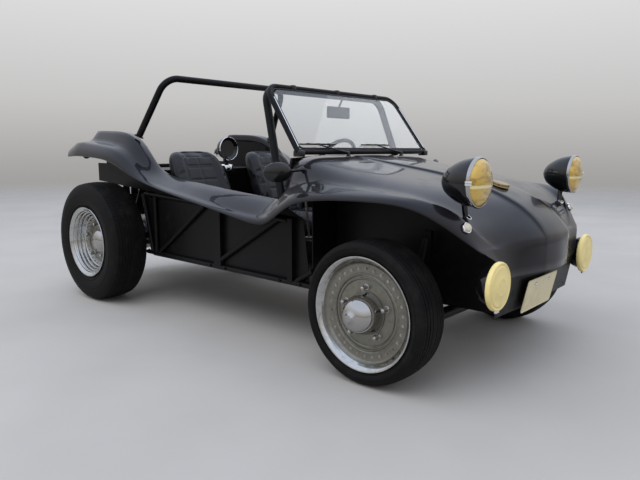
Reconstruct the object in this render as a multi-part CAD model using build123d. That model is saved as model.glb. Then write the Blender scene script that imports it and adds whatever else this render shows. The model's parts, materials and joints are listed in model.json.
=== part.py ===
from build123d import *
from math import atan2, cos, degrees, hypot, radians, sin
import os

os.makedirs("parts", exist_ok=True)

# Main sizes in millimetres. X runs forward from the front axle, Y to the left, Z up from the ground.
WHEELBASE = 2032
FRONT_END = 507
TAIL_OVERHANG = 568
REAR_END = WHEELBASE + TAIL_OVERHANG
MID_X = (REAR_END - FRONT_END) / 2
SEAT_GAP = 0.3
SHELL = 5

# Wheels
FRONT_TYRE_R = 286
FRONT_TYRE_W = 185
FRONT_RIM_R = 225
FRONT_RIM_FACE = 692
REAR_TYRE_R = 357
REAR_TYRE_W = 225
REAR_RIM_R = 207
REAR_RIM_FACE = 756
KINGPIN_Y = 460
FRONT_HUB_Y = 512
REAR_HUB_Y = 560
DRUM_R = 112
RIM_LIP = 12
RIM_BED = 14
DISC_T = 30

# Tubes
HOOP_R = 19
SCREEN_TUBE_R = 12.5
TRUSS_R = 12.5
TRUSS_Y = 518

# Tub
FLOOR_Z = 285
FLOOR_T = 4
PANEL_Y = 503
PANEL_T = 2.2
FOOT_X = -420
REAR_WALL_X = -WHEELBASE + 392
DECK_Z = 790


def box(x0, x1, y0, y1, z0, z1):
    """A block between six planes."""
    centre = ((x0 + x1) / 2, (y0 + y1) / 2, (z0 + z1) / 2)
    return Pos(*centre) * Box(x1 - x0, y1 - y0, z1 - z0)


def rod(a, b, r):
    """A round bar between two points."""
    start = Vector(*a)
    run = Vector(*b) - start
    return Solid.make_cylinder(r, run.length, Plane(origin=start, z_dir=run))


def tube_path(points, bend, r):
    """A bar bent through points that lie in one plane."""
    path = FilletPolyline(*points, radius=bend)
    first = Vector(*points[0])
    start = Plane(origin=first, z_dir=Vector(*points[1]) - first)
    return sweep(start * Circle(r), path=path)


def plate(points, plane, t):
    """A flat plate cut to an outline."""
    outline = Wire.make_polygon([plane.from_local_coords(Vector(*p)) for p in points], close=True)
    return extrude(Face(outline), amount=t, dir=plane.z_dir)


def cross_plate(points, x, t):
    """A flat plate across the vehicle from (y, z) points, from x back by t."""
    outline = Wire.make_polygon([(x, y, z) for y, z in points], close=True)
    return extrude(Face(outline), amount=t, dir=(-1, 0, 0))


def spun(points, x, y, z, side=1):
    """A ring turned about a line along Y, from (outward distance, radius) points."""
    outline = Wire.make_polygon([(0, side * a, r) for a, r in points], close=True)
    return Pos(x, side * y, z) * revolve(Face(outline), axis=Axis.Y, revolution_arc=360)


def both(shape):
    """The shape and its image on the other side."""
    return [shape, mirror(shape, about=Plane.XZ)]


def fused(shapes):
    """One shape of all that touch."""
    first, *rest = shapes
    return first.fuse(*rest) if rest else first


def save(name, shapes):
    """Writes one node, moved to the middle of the vehicle."""
    solids = []
    for shape in shapes if isinstance(shapes, (list, tuple)) else [shapes]:
        solids += list(shape.solids())
    whole = Compound(children=solids) if len(solids) > 1 else solids[0]
    export_step(Pos(MID_X, 0, 0) * whole, f"parts/{name}.step")


def inner_line(points, t):
    """The line t to the right of an open line of (y, z) points."""
    normals = []
    for (y0, z0), (y1, z1) in zip(points, points[1:]):
        run = hypot(y1 - y0, z1 - z0)
        normals.append(((z1 - z0) / run, -(y1 - y0) / run))
    moved = []
    for i, (y, z) in enumerate(points):
        ny0, nz0 = normals[max(i - 1, 0)]
        ny1, nz1 = normals[min(i, len(normals) - 1)]
        share = max(1 + ny0 * ny1 + nz0 * nz1, 0.5)
        moved.append((y + t * (ny0 + ny1) / share, z + t * (nz0 + nz1) / share))
    return moved


def skin(stations, t):
    """A moulded skin through (x, line of points) stations."""
    rings = []
    for x, line in stations:
        ring = line + inner_line(line, t)[::-1]
        rings.append(Wire.make_polygon([(x, y, z) for y, z in ring], close=True))
    return Solid.make_loft(rings, ruled=True)


# Front body: x, centre z, hood edge y z, hollow y z, crease y z, lip y z
FRONT_BODY = [
    (-560, 888, 486, 876, 524, 742, 606, 655, 640, 604),
    (-480, 883, 520, 880, 538, 770, 610, 712, 646, 668),
    (-400, 868, 516, 858, 548, 783, 616, 741, 656, 700),
    (-250, 842, 500, 822, 558, 777, 626, 754, 672, 712),
    (0, 808, 482, 790, 560, 757, 636, 757, 688, 722),
    (150, 770, 465, 766, 552, 741, 633, 747, 674, 716),
    (230, 745, 420, 728, 530, 706, 612, 732, 656, 694),
    (290, 722, 368, 676, 505, 670, 560, 708, 618, 655),
    (330, 703, 335, 648, 484, 638, 508, 664, 568, 612),
    (360, 688, 318, 630, 455, 606, 481, 616, 543, 584),
    (390, 668, 302, 606, 376, 560, 428, 560, 512, 556),
]
BAND_Y = 118
BAND_RISE = 10
BAND_FADE = 300
CROWN = 2

# Nose: y, then x z twice on the hood, x z of the crest, x z of the foot
NOSE = [
    (0, 430, 650, 462, 619, 496, 575, FRONT_END, 440),
    (118, 428, 647, 458, 615, 484, 573, 487, 440),
    (126, 427, 638, 456, 607, 482, 571, 485, 440),
    (187, 418, 629, 446, 601, 470, 571, 467, 439),
    (302, 399, 590, 406, 575, 411, 561, 438, 438),
    (376, 396, 556, 402, 552, 407, 549, 435, 436),
    (428, 392, 559, 394, 556, 397, 553, 420, 507),
    (475, 391.5, 557, 393, 554.5, 395, 552, 405, 537),
]
NOSE_STEP = 4

# Chin: y, x of its top edge, x of its foot
CHIN = [(0, 446, 414), (270, 430, 400), (380, 425, 398)]
CHIN_TOP_Z = 433
CHIN_FOOT_Z = 280
CHIN_T = 4

# Side rail: share of the way from the cowl to the rear fender, inner edge y z, top y z,
# foot of shoulder y z, crease y z, lip y z
SIDE_RAIL = [
    (0, 500, 652, 540, 655, 578, 654, 606, 648, 640, 604),
    (0.12, 484, 652, 530, 645, 572, 626, 604, 608, 643, 562),
    (0.29, 480, 655, 530, 646, 572, 628, 605, 612, 645, 568),
    (0.52, 480, 666, 530, 660, 574, 652, 608, 640, 648, 590),
    (0.76, 480, 680, 530, 678, 576, 678, 612, 670, 655, 616),
]
# Rear fender and shoulder: x from the rear axle, then the same places
REAR_FENDER = [
    (632, 478, 697, 530, 704, 582, 716, 622, 714, 666, 652),
    (502, 494, 752, 534, 756, 592, 756, 640, 752, 680, 694),
    (412, 498, 838, 540, 850, 598, 818, 652, 808, 690, 750),
    (302, 500, 956, 556, 974, 604, 902, 662, 882, 698, 806),
    (182, 496, 1006, 562, 1012, 600, 932, 668, 917, 702, 846),
    (-128, 490, 1022, 560, 1026, 596, 964, 668, 951, 700, 868),
    (-218, 490, 968, 556, 976, 594, 966, 662, 957, 696, 866),
    (-338, 490, 902, 552, 912, 594, 914, 642, 910, 676, 852),
]
COWL_X = FRONT_BODY[0][0]
RAIL_RUN = REAR_FENDER[0][0] - WHEELBASE - COWL_X
SIDE_BODY = [(COWL_X + share * RAIL_RUN, *line) for share, *line in SIDE_RAIL]
SIDE_BODY += [(x - WHEELBASE, *line) for x, *line in REAR_FENDER]
INNER_TURN = 42


def front_line(row):
    """The whole cross line of the front body at one station."""
    x, zc, y4, z4, y5, z5, y6, z6, y8, z8 = row
    mid = zc - 0.35 * (zc - z4)
    rise = BAND_RISE * min(1, (x - COWL_X) / BAND_FADE)
    half = [
        (y8, z8),
        (y8 - 0.1 * (y8 - y6), z6 - 0.45 * (z6 - z8)),
        (y6, z6),
        (y5, z5),
        (y4, z4),
        (0.62 * y4, mid),
        (BAND_Y + 8, zc),
        (BAND_Y, zc + rise),
    ]
    return half + [(0, zc + rise + CROWN)] + [(-y, z) for y, z in half[::-1]]


def line_height(line, y):
    """Height of a cross line at y."""
    for (y0, z0), (y1, z1) in zip(line, line[1:]):
        if y1 <= y <= y0:
            return z0 + (z1 - z0) * (y0 - y) / (y0 - y1)
    return line[0][1]


def mirrored(rows):
    """Rows with their images on the other side, in order across the vehicle."""
    return [(-row[0], *row[1:]) for row in rows[:0:-1]] + rows


def nose():
    """The fall of the hood to its crest and the upright face below it."""
    last = FRONT_BODY[-1]
    line = front_line(last)
    rings = []
    for y, *columns in mirrored(NOSE):
        points = [(last[0], line_height(line, abs(y)))]
        points += list(zip(columns[::2], columns[1::2]))
        ring = points + [(x - NOSE_STEP, z - NOSE_STEP) for x, z in points[::-1]]
        rings.append(Wire.make_polygon([(x, y, z) for x, z in ring], close=True))
    return Solid.make_loft(rings, ruled=True)


def front_stations(start, stop):
    """Some stations of the front body with their cross lines."""
    return [(row[0], front_line(row)) for row in FRONT_BODY[start:stop]]


def body_front():
    """Hood, cowl, front fenders and nose as one moulding."""
    return fused([skin(front_stations(0, len(FRONT_BODY)), -SHELL), nose()])


def panel_point(stations, i, j, along, across):
    """A point of a skin between two stations and two points of its line, and the way out."""
    (xa, la), (xb, lb) = stations
    corners = [Vector(xa, *la[i]), Vector(xa, *la[j]), Vector(xb, *lb[i]), Vector(xb, *lb[j])]
    rear = corners[0] * (1 - across) + corners[1] * across
    front = corners[2] * (1 - across) + corners[3] * across
    out = (front - rear).cross(corners[1] - corners[0]).normalized()
    return rear * (1 - along) + front * along, out if out.Z > 0 else out * -1


def on_side(point, side):
    """A point of the left side on the given side, as a tuple."""
    return point.X, side * point.Y, point.Z


def side_line(row):
    """The cross line of one side from its inner edge to its lip."""
    x, y1, z1, y2, z2, y3, z3, y4, z4, y6, z6 = row
    return [
        (y1 - 3, z1 - INNER_TURN),
        (y1, z1),
        (y2, z2),
        (y3, z3),
        (y4, z4),
        (y6 - 0.1 * (y6 - y4), z4 - 0.45 * (z4 - z6)),
        (y6, z6),
    ]


def body_side():
    """Side rail, rear fender and shoulder of the left side, closed at the tail."""
    shell = skin([(row[0], side_line(row)) for row in SIDE_BODY], SHELL)
    last = SIDE_BODY[-1]
    line = [(last[0], y, z) for y, z in side_line(last)]
    tail = extrude(Face(Wire.make_polygon(line, close=True)), amount=SHELL, dir=(-1, 0, 0))
    return fused([shell, tail])


def body_deck():
    """The shelf and the wall behind the seats, with cheeks up to the shoulders."""
    inner = SIDE_BODY[-1][1] - 8
    cheek = plate(
        [(272, DECK_Z), (-208, DECK_Z), (-208, 915), (-128, 972), (192, 960), (272, 925)],
        Plane(origin=(-WHEELBASE, inner, 0), x_dir=(1, 0, 0), z_dir=(0, -1, 0)),
        SHELL,
    )
    shelf = box(-WHEELBASE - 28, REAR_WALL_X, -inner, inner, DECK_Z - SHELL, DECK_Z)
    wall = box(REAR_WALL_X - SHELL, REAR_WALL_X, -inner, inner, FLOOR_Z + FLOOR_T, DECK_Z - SHELL)
    return fused([shelf, wall, *both(cheek)])


def floor_pan():
    """Floor with its tunnel, and the frame head that carries the front beam."""
    floor = box(REAR_WALL_X - 60, FOOT_X + SHELL, -PANEL_Y, PANEL_Y, FLOOR_Z, FLOOR_Z + FLOOR_T)
    tunnel = plate(
        [(-75, 0), (-55, 120), (55, 120), (75, 0)],
        Plane(origin=(REAR_WALL_X, 0, FLOOR_Z + FLOOR_T), x_dir=(0, 1, 0), z_dir=(1, 0, 0)),
        FOOT_X - REAR_WALL_X,
    )
    front = FOOT_X + SHELL
    head = box(front, BEAM_X - 45, -60, 60, FLOOR_Z - 30, FLOOR_Z + 60)
    spread = plate(
        [(front, -250), (-120, -60), (-120, 60), (front, 250)],
        Plane(origin=(0, 0, FLOOR_Z), x_dir=(1, 0, 0), z_dir=(0, 0, 1)),
        FLOOR_T,
    )
    member_x = -WHEELBASE + TORSION_AHEAD + TORSION_R + SEAT_GAP
    member = box(member_x, member_x + 40, -430, 430, FLOOR_Z + FLOOR_T, REAR_TYRE_R + 20)
    return fused([floor, tunnel, head, spread, member])


def tub_panels():
    """Flat side panels and the toe board of the cockpit."""
    side = plate(
        [(-430, 300), (REAR_WALL_X - 60, 300), (REAR_WALL_X - 100, 622), (REAR_WALL_X + 240, 632),
         (-1000, 604), (-660, 590), (-470, 594)],
        Plane(origin=(0, PANEL_Y + PANEL_T, 0), x_dir=(1, 0, 0), z_dir=(0, -1, 0)),
        PANEL_T,
    )
    toe = box(FOOT_X, FOOT_X + SHELL, -PANEL_Y + 1, PANEL_Y - 1, FLOOR_Z + FLOOR_T, 760)
    floor_edge = box(REAR_WALL_X - 60, -430, PANEL_Y, PANEL_Y + PANEL_T, FLOOR_Z, 300)
    return [*both(fused([side, floor_edge])), toe]


INNER_WALL_Y = 335


def inner_walls():
    """Upright walls beside the front wheels, the pan between them and the chin below the nose."""
    rear = FOOT_X + SHELL
    wall = plate(
        [(rear, 350), (0, 396), (300, 410), (418, 430), (395, 545), (330, 620), (290, 655), (230, 700), (0, 770),
         (-300, 800), (rear, 800)],
        Plane(origin=(0, INNER_WALL_Y, 0), x_dir=(1, 0, 0), z_dir=(0, -1, 0)),
        4,
    )
    pan = plate(
        [(rear, 350), (0, 396), (300, 410), (424, 428), (424, 432), (300, 414), (0, 400), (rear, 354)],
        Plane(origin=(0, INNER_WALL_Y - 4, 0), x_dir=(1, 0, 0), z_dir=(0, -1, 0)),
        2 * INNER_WALL_Y - 8,
    )
    rings = []
    for y, top, foot in mirrored(CHIN):
        ring = [(top, CHIN_TOP_Z), (foot, CHIN_FOOT_Z), (foot - CHIN_T, CHIN_FOOT_Z), (top - CHIN_T, CHIN_TOP_Z)]
        rings.append(Wire.make_polygon([(x, y, z) for x, z in ring], close=True))
    chin = Solid.make_loft(rings, ruled=True)
    return fused([*both(wall), pan, chin])


DASH_T = 12


def dash():
    """Flat dash board that closes the rear end of the cowl."""
    back = FRONT_BODY[0][0] - SEAT_GAP
    half = [(300, 884), (482, 873), (519, 748), (470, 700)]
    outline = half + [(-y, z) for y, z in half[::-1]]
    return cross_plate(outline, back, DASH_T)


# Side frame: ends of each bar as x z, x z
TRUSS_BARS = [
    (REAR_WALL_X - 95, 307, -400, 300),
    (REAR_WALL_X - 100, 650, -1080, 622),
    (-1080, 622, -560, 590),
    (REAR_WALL_X, 307, REAR_WALL_X, 646),
    (REAR_WALL_X + 34, 320, REAR_WALL_X + 460, 615),
    (-1088, 318, -620, 592),
    (-498, 314, -400, 372),
    (REAR_WALL_X - 40, 315, REAR_WALL_X - 120, 650),
]


# Posts of the side frame: rear x, front x, foot z, top z
TRUSS_POSTS = [(-1093, -1037, 300, 630), (-552, -520, 296, 600)]


def side_truss():
    """Frame of round bars and two flat posts along each side."""
    bars = [rod((x0, TRUSS_Y, z0), (x1, TRUSS_Y, z1), TRUSS_R) for x0, z0, x1, z1 in TRUSS_BARS]
    near, far = TRUSS_Y - TRUSS_R, TRUSS_Y + TRUSS_R
    posts = [box(x0, x1, near, far, z0, z1) for x0, x1, z0, z1 in TRUSS_POSTS]
    return both(fused([*bars, *posts]))


def hoop_front():
    """Roll hoop behind the windscreen, standing on the side rails."""
    foot_x, foot_y, foot_z = -590, 515, 658
    top_x, top_y, top_z = -768, 455, 1196
    ends = [(foot_x, foot_y, foot_z), (top_x, top_y, top_z), (top_x, -top_y, top_z),
            (foot_x, -foot_y, foot_z)]
    return tube_path(ends, 75, HOOP_R)


def hoop_rear():
    """Roll hoop behind the seats, standing on the shoulders on round feet."""
    spot, out = panel_point([(row[0], side_line(row)) for row in SIDE_BODY[8:10]], 1, 2, 0.29, 0.55)
    foot_x, foot_y, foot_z = tuple(spot + out * 7)
    top_x, top_y, top_z = REAR_WALL_X + 68, 462, 1308
    ends = [(foot_x, foot_y, foot_z), (top_x, top_y, top_z), (top_x, -top_y, top_z),
            (foot_x, -foot_y, foot_z)]
    feet = [rod(on_side(spot + out * 2.5, side), on_side(spot + out * 9, side), 27) for side in (-1, 1)]
    return fused([tube_path(ends, 100, HOOP_R), *feet])


# Windscreen plane
SCREEN_FOOT = (-484, 900.7)
SCREEN_TOP = (-708, 1204)
SCREEN_FOOT_Y = 524
SCREEN_TOP_Y = 510
GLASS_T = 5


def windscreen_frame():
    """Bent tube round the flat glass, with its foot bar."""
    (x0, z0), (x1, z1) = SCREEN_FOOT, SCREEN_TOP
    ends = [(x0, SCREEN_FOOT_Y, z0), (x1, SCREEN_TOP_Y, z1), (x1, -SCREEN_TOP_Y, z1),
            (x0, -SCREEN_FOOT_Y, z0)]
    foot = rod((x0, -SCREEN_FOOT_Y, z0), (x0, SCREEN_FOOT_Y, z0), SCREEN_TUBE_R)
    return fused([tube_path(ends, 72, SCREEN_TUBE_R), foot])


def windscreen_glass():
    """Flat pane inside the frame."""
    slope = Vector(SCREEN_TOP[0] - SCREEN_FOOT[0], 0, SCREEN_TOP[1] - SCREEN_FOOT[1])
    tall = slope.length
    plane = Plane(origin=(SCREEN_FOOT[0], 0, SCREEN_FOOT[1]), x_dir=(0, 1, 0),
                  z_dir=Vector(0, 1, 0).cross(slope))
    edge = SCREEN_TUBE_R + SEAT_GAP
    low = SCREEN_FOOT_Y - edge - 3
    high = SCREEN_TOP_Y - edge - 3
    half = [(low, edge), (high + 1, tall - 75), (high - 16, tall - 42), (high - 60, tall - edge)]
    outline = half + [(-y, s) for y, s in half[::-1]]
    return plate(outline, plane, GLASS_T)


def screen_x(z, ahead):
    """X of a point at height z that lies ahead of the back of the glass."""
    run, rise = SCREEN_TOP[0] - SCREEN_FOOT[0], SCREEN_TOP[1] - SCREEN_FOOT[1]
    return SCREEN_FOOT[0] + (z - SCREEN_FOOT[1]) * run / rise + ahead * hypot(run, rise) / rise


# Wipers: y of the pivot, y of the arm's end, y of both ends of the blade
WIPERS = [(-215, -400, -500, -250), (235, 60, -50, 190)]
WIPER_X = -448


def wipers():
    """Two wiper arms with their blades on the foot of the glass."""
    ahead = GLASS_T + 4 + SEAT_GAP
    rear, front = FRONT_BODY[1:3]
    share = (WIPER_X - rear[0]) / (front[0] - rear[0])
    pieces = []
    for y, end, low, high in WIPERS:
        heights = [line_height(front_line(row), abs(y)) for row in (rear, front)]
        foot = heights[0] + share * (heights[1] - heights[0]) + 2.5
        pivot = rod((WIPER_X, y, foot), (WIPER_X, y, foot + 24), 9)
        arm = rod((WIPER_X, y, foot + 19), (screen_x(933, ahead), end, 933), 3.5)
        blade = rod((screen_x(932, ahead), low, 932), (screen_x(932, ahead), high, 932), 4)
        pieces.append(fused([pivot, arm, blade]))
    return pieces


def tyre(x, r, w, rim_r, bead, side, y):
    """Tyre section turned about the axle, its beads held between the rim lips."""
    half = w / 2
    crown = r - 8
    seat_r = rim_r - RIM_BED + SEAT_GAP
    wall = [(bead, seat_r), (bead, rim_r + 5), (half - 3, rim_r + 14), (half, (rim_r + r) / 2),
            (half - 8, crown - 8), (half - 26, crown), (half - 60, r)]
    return spun([(-a, q) for a, q in wall] + wall[::-1], x, y, r, side)


# Wheel caps: distance out from the disc, radius
LONG_CAP = [(112, 0), (112, 20), (105, 26), (97, 26), (92, 40), (74, 60), (44, 75), (8, 83)]
SHORT_CAP = [(30, 0), (28, 30), (14, 62), (2, 70)]
NUT_COUNT = 5
NUT_CIRCLE_R = 102.5
NUT_R = 10
NUT_L = 38


def rim(x, z, r, face, back, dish, side, cap):
    """Wheel rim with its lips, barrel, disc, cap and nuts."""
    disc = face - dish
    bed = r - RIM_BED
    points = [
        (face, r), (face - 7, r + 3), (face - RIM_LIP, bed), (back + RIM_LIP, bed), (back + 7, r + 3),
        (back, r), (back, r - 18), (disc - 22, r - 26), (disc - DISC_T, 0.62 * r), (disc - DISC_T, 0),
        *[(disc + a, q) for a, q in cap], (disc - 6, 0.60 * r), (disc, 0.66 * r), (disc, r - 30),
        (face - 6, r - 9),
    ]
    nuts = []
    for i in range(NUT_COUNT):
        turn = radians(90 + 360 * i / NUT_COUNT)
        nx, nz = x + NUT_CIRCLE_R * cos(turn), z + NUT_CIRCLE_R * sin(turn)
        nuts.append(rod((nx, side * (disc - 16), nz), (nx, side * (disc - 6 + NUT_L), nz), NUT_R))
    return fused([spun(points, x, 0, z, side), *nuts])


def drum(x, z, disc, hub_y, side):
    """Brake drum behind the wheel disc."""
    outer = disc - DISC_T - SEAT_GAP
    return spun([(outer, 0), (outer, DRUM_R - 4), (hub_y, DRUM_R), (hub_y, 0)], x, 0, z, side)


def knuckle(side):
    """Upright with its stub axle, back plate and steering arm."""
    z = FRONT_TYRE_R
    y = KINGPIN_Y
    post = Pos(0, side * y, z) * Cylinder(20, 168)
    stub = rod((0, side * y, z), (0, side * (FRONT_HUB_Y - 6), z), 26)
    plate_disc = rod((0, side * (FRONT_HUB_Y - 9), z), (0, side * (FRONT_HUB_Y - SEAT_GAP), z), DRUM_R)
    arm = rod((0, side * y, z - 30), (-110, side * (y - 25), z - 30), 9)
    return fused([post, stub, plate_disc, arm])


BEAM_X = 105
BEAM_Y = 398
BEAM_RISE = 70
EYE_R = 13
EYE_REACH = 90


def front_axle():
    """Twin tube beam with its towers, trailing arms and dampers."""
    z = FRONT_TYRE_R
    pieces = []
    for dz in (-BEAM_RISE, BEAM_RISE):
        pieces.append(rod((BEAM_X, -BEAM_Y, z + dz), (BEAM_X, BEAM_Y, z + dz), 25))
    for side in (-1, 1):
        y = side * (BEAM_Y - 18)
        pieces.append(box(BEAM_X - 16, BEAM_X + 16, y - 10, y + 10, z - BEAM_RISE, 590))
        end = side * KINGPIN_Y
        for up in (-1, 1):
            level = z + up * (84 + SEAT_GAP + 14)
            pieces.append(Pos(0, end, level) * Cylinder(22, 28))
            start = (BEAM_X, side * (BEAM_Y - 2), z + up * BEAM_RISE)
            pieces.append(rod(start, (8, end - side * 6, level + up * 4), 10))
        pieces.append(rod((30, side * (BEAM_Y + 22), z - 92), (BEAM_X - 8, y, 560), 17))
    pieces.append(box(BEAM_X - 45, BEAM_X, -58, 58, z - BEAM_RISE, z + BEAM_RISE))
    eye = box(BEAM_X, BEAM_X + EYE_REACH, -EYE_R - 12, EYE_R + 12, z - BEAM_RISE - 6, z - BEAM_RISE + 6)
    hole = Pos(BEAM_X + EYE_REACH - EYE_R - 12, 0, z - BEAM_RISE) * Cylinder(EYE_R, 40)
    return fused([*pieces, eye]).cut(hole)


TORSION_AHEAD = 290
TORSION_R = 42


def rear_axle():
    """Torsion tube, spring plates, axle tubes, back plates and dampers."""
    x = -WHEELBASE
    z = REAR_TYRE_R
    front = x + TORSION_AHEAD
    pieces = [rod((front, -470, z - 10), (front, 470, z - 10), TORSION_R)]
    for side in (-1, 1):
        plate_y = side * 455
        pieces.append(rod((front, plate_y, z - 10), (x, plate_y, z), 20))
        pieces.append(rod((x, side * 130, z), (x, side * (REAR_HUB_Y - 6), z), 32))
        hub = side * (REAR_HUB_Y - SEAT_GAP)
        pieces.append(rod((x, hub - side * 9, z), (x, hub, z), DRUM_R))
        pieces.append(rod((x - 30, side * 430, z + 10), (x + 120, side * 400, 740), 24))
        pieces.append(rod((x + 120, side * 400, 735), (x + 225, side * 400, z), 16))
    return fused(pieces)


def transaxle():
    """Gearbox between the frame horns."""
    x = -WHEELBASE
    z = REAR_TYRE_R
    case = box(x - 150, x + 110, -130 + SEAT_GAP, 130 - SEAT_GAP, z - 110, z + 110)
    front = x + TORSION_AHEAD - TORSION_R - SEAT_GAP
    nose = box(x + 110, front, -70, 70, z - 70, z + 60)
    horns = [rod((x - 150, s * 165, z - 60), (front, s * 165, z - 60), 22) for s in (-1, 1)]
    bridge = box(x - 150, x - 100, -165, 165, z - 70, z - 50)
    eye = box(x - 150, x - 90, 150, 229, z - 70, z - 58)
    hole = Pos(x - 120, 204, z - 64) * Cylinder(EYE_R, 40)
    return fused([case, nose, bridge, eye, *horns]).cut(hole)


ENGINE_X = -WHEELBASE - 150 - SEAT_GAP
FIN_COUNT = 8
FIN_PITCH = 20
FIN_T = 6


def cylinder_barrel(x, side):
    """One finned barrel between the crankcase and the head."""
    root, tip = 46, 62
    points = [(128, 0), (128, root)]
    for i in range(FIN_COUNT):
        start = 134 + i * FIN_PITCH
        points += [(start, root), (start, tip), (start + FIN_T, tip), (start + FIN_T, root)]
    points += [(302, root), (302, 0)]
    return spun(points, x, 0, REAR_TYRE_R, side)


def engine():
    """Crankcase with its cylinders, heads, covers and sump."""
    z = REAR_TYRE_R
    case = box(ENGINE_X - 300, ENGINE_X, -130, 130, z - 120, z + 110)
    pieces = [case, box(ENGINE_X - 260, ENGINE_X - 60, -90, 90, z - 150, z - 120)]
    for side in (-1, 1):
        pieces += [cylinder_barrel(ENGINE_X - dx, side) for dx in (85, 215)]
        pieces.append(box(ENGINE_X - 285, ENGINE_X - 15, *sorted((side * 300, side * 370)), z - 72, z + 65))
        pieces.append(box(ENGINE_X - 265, ENGINE_X - 35, *sorted((side * 370, side * 392)), z - 60, z + 45))
    pieces.append(rod((ENGINE_X - 300, 0, z), (ENGINE_X - 345, 0, z), 84))
    return fused(pieces)


def fan_shroud():
    """Sheet shroud over the cylinders with its fan drum and dynamo."""
    z = REAR_TYRE_R + 110
    outline = [(-370, 0), (-370, 40), (-250, 110), (-250, 290), (-190, 340), (190, 340), (250, 290),
               (250, 110), (370, 40), (370, 0), (132, 0), (132, 20), (-132, 20), (-132, 0)]
    shroud = plate(outline, Plane(origin=(ENGINE_X - 200, 0, z), x_dir=(0, 1, 0), z_dir=(1, 0, 0)), 130)
    drum_ring = rod((ENGINE_X - 70, 0, z + 185), (ENGINE_X - 45, 0, z + 185), 130)
    dynamo = rod((ENGINE_X - 200, 0, z + 185), (ENGINE_X - 345, 0, z + 185), 52)
    pulley = rod((ENGINE_X - 345, 0, z + 185), (ENGINE_X - 372, 0, z + 185), 68)
    stand = box(ENGINE_X - 330, ENGINE_X - 215, -30, 30, z + SEAT_GAP, z + 150)
    return fused([shroud, drum_ring, dynamo, pulley, stand])


def exhaust():
    """Silencer across the tail with its two tips and the pipes up to the heads."""
    z = REAR_TYRE_R - 139
    x = -REAR_END + 55
    head_z = REAR_TYRE_R - 72 - SEAT_GAP
    pieces = [rod((x, -260, z), (x, 260, z), 45)]
    for side in (-1, 1):
        pieces.append(rod((x, side * 110, z), (-REAR_END, side * 110, z), 18))
        pieces.append(rod((x, side * 245, z), (ENGINE_X - 230, side * 335, z + 20), 20))
        pieces.append(rod((ENGINE_X - 230, side * 335, z + 10), (ENGINE_X - 230, side * 335, head_z), 22))
    return fused(pieces)


def air_cleaners():
    """A carburettor and a round cleaner over each bank."""
    z = REAR_TYRE_R + 65 + SEAT_GAP
    pieces = []
    for side in (-1, 1):
        y = side * 335
        foot = Pos(ENGINE_X - 40, y, z + 60) * Cylinder(24, 120)
        body = box(ENGINE_X - 68, ENGINE_X - 12, y - 38, y + 38, z + 90, z + 190)
        top = Pos(ENGINE_X - 40, y, z + 230) * Cylinder(75, 80)
        pieces.append(fused([foot, body, top]))
    return pieces


# Seats
SEAT_Y = 280
SEAT_LOW_W = 384
SEAT_HIGH_W = 340
SEAT_BACK_H = 530
SEAT_RAKE = 20
SEAT_FOOT_X = REAR_WALL_X + 200
CUSHION_L = 480
BOLSTER_W = 62
BOLSTER_D = 48


def seat(side):
    """Low back bucket seat: cushion and back with raised bolsters."""
    half = SEAT_LOW_W / 2
    cushion = plate(
        [(-half, 0), (-half + 6, 150), (-half + BOLSTER_W, 150 - 6), (-half + BOLSTER_W + 14, 150 - BOLSTER_D),
         (half - BOLSTER_W - 14, 150 - BOLSTER_D), (half - BOLSTER_W, 150 - 6), (half - 6, 150), (half, 0)],
        Plane(origin=(SEAT_FOOT_X + 40, 0, 0), x_dir=(0, 1, 0), z_dir=(1, 0, 0)),
        CUSHION_L,
    )
    top = SEAT_HIGH_W / 2
    tall = SEAT_BACK_H
    outline = [(-half, 0), (-half, 0.55 * tall), (-top, 0.9 * tall), (-top + 40, tall), (top - 40, tall),
               (top, 0.9 * tall), (half, 0.55 * tall), (half, 0)]
    low, high = half - BOLSTER_W, top - BOLSTER_W
    hollow = [(-low, 110), (-low, 0.5 * tall), (-high, 0.86 * tall), (high, 0.86 * tall), (low, 0.5 * tall),
              (low, 110)]
    plane = Plane(origin=(0, 0, 0), x_dir=(0, 1, 0), z_dir=(1, 0, 0))
    back = plate(outline, plane, 130).cut(
        plate(hollow, Plane(origin=(130 - BOLSTER_D, 0, 0), x_dir=(0, 1, 0), z_dir=(1, 0, 0)), BOLSTER_D + 1))
    back = Pos(SEAT_FOOT_X, 0, 0) * Rot(0, -SEAT_RAKE, 0) * back
    return Pos(0, side * SEAT_Y, 400) * fused([cushion, back])


def seat_rails():
    """Two low rails under each seat."""
    top = 400 - SEAT_GAP
    rails = []
    for y in (SEAT_Y - 130, SEAT_Y + 100):
        rails += both(box(SEAT_FOOT_X + 60, SEAT_FOOT_X + CUSHION_L, y, y + 30, FLOOR_Z + FLOOR_T, top))
    return rails


STEER_Y = 312
STEER_HUB = (-985, 812)
STEER_RAKE = 28
STEER_R = 172
COLUMN_R = 19


def steering_frame():
    """A plane at the steering wheel whose Z runs up along the column."""
    x, z = STEER_HUB
    up = Vector(-cos(radians(STEER_RAKE)), 0, sin(radians(STEER_RAKE)))
    return Plane(origin=(x, STEER_Y, z), x_dir=(0, 1, 0), z_dir=up)


def steering_wheel():
    """Round rim, three spokes and a boss."""
    plane = steering_frame()
    ring = Solid.make_torus(STEER_R, 12, plane)
    boss = Solid.make_cylinder(32, 34, Plane(origin=plane.from_local_coords(Vector(0, 0, -14)),
                                             z_dir=plane.z_dir))
    spokes = []
    for turn in (90, 210, 330):
        tip = Vector(STEER_R * cos(radians(turn)), STEER_R * sin(radians(turn)), 0)
        spokes.append(rod(tuple(plane.from_local_coords(Vector(0, 0, 0))),
                          tuple(plane.from_local_coords(tip)), 6))
    return fused([ring, boss, *spokes])


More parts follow.
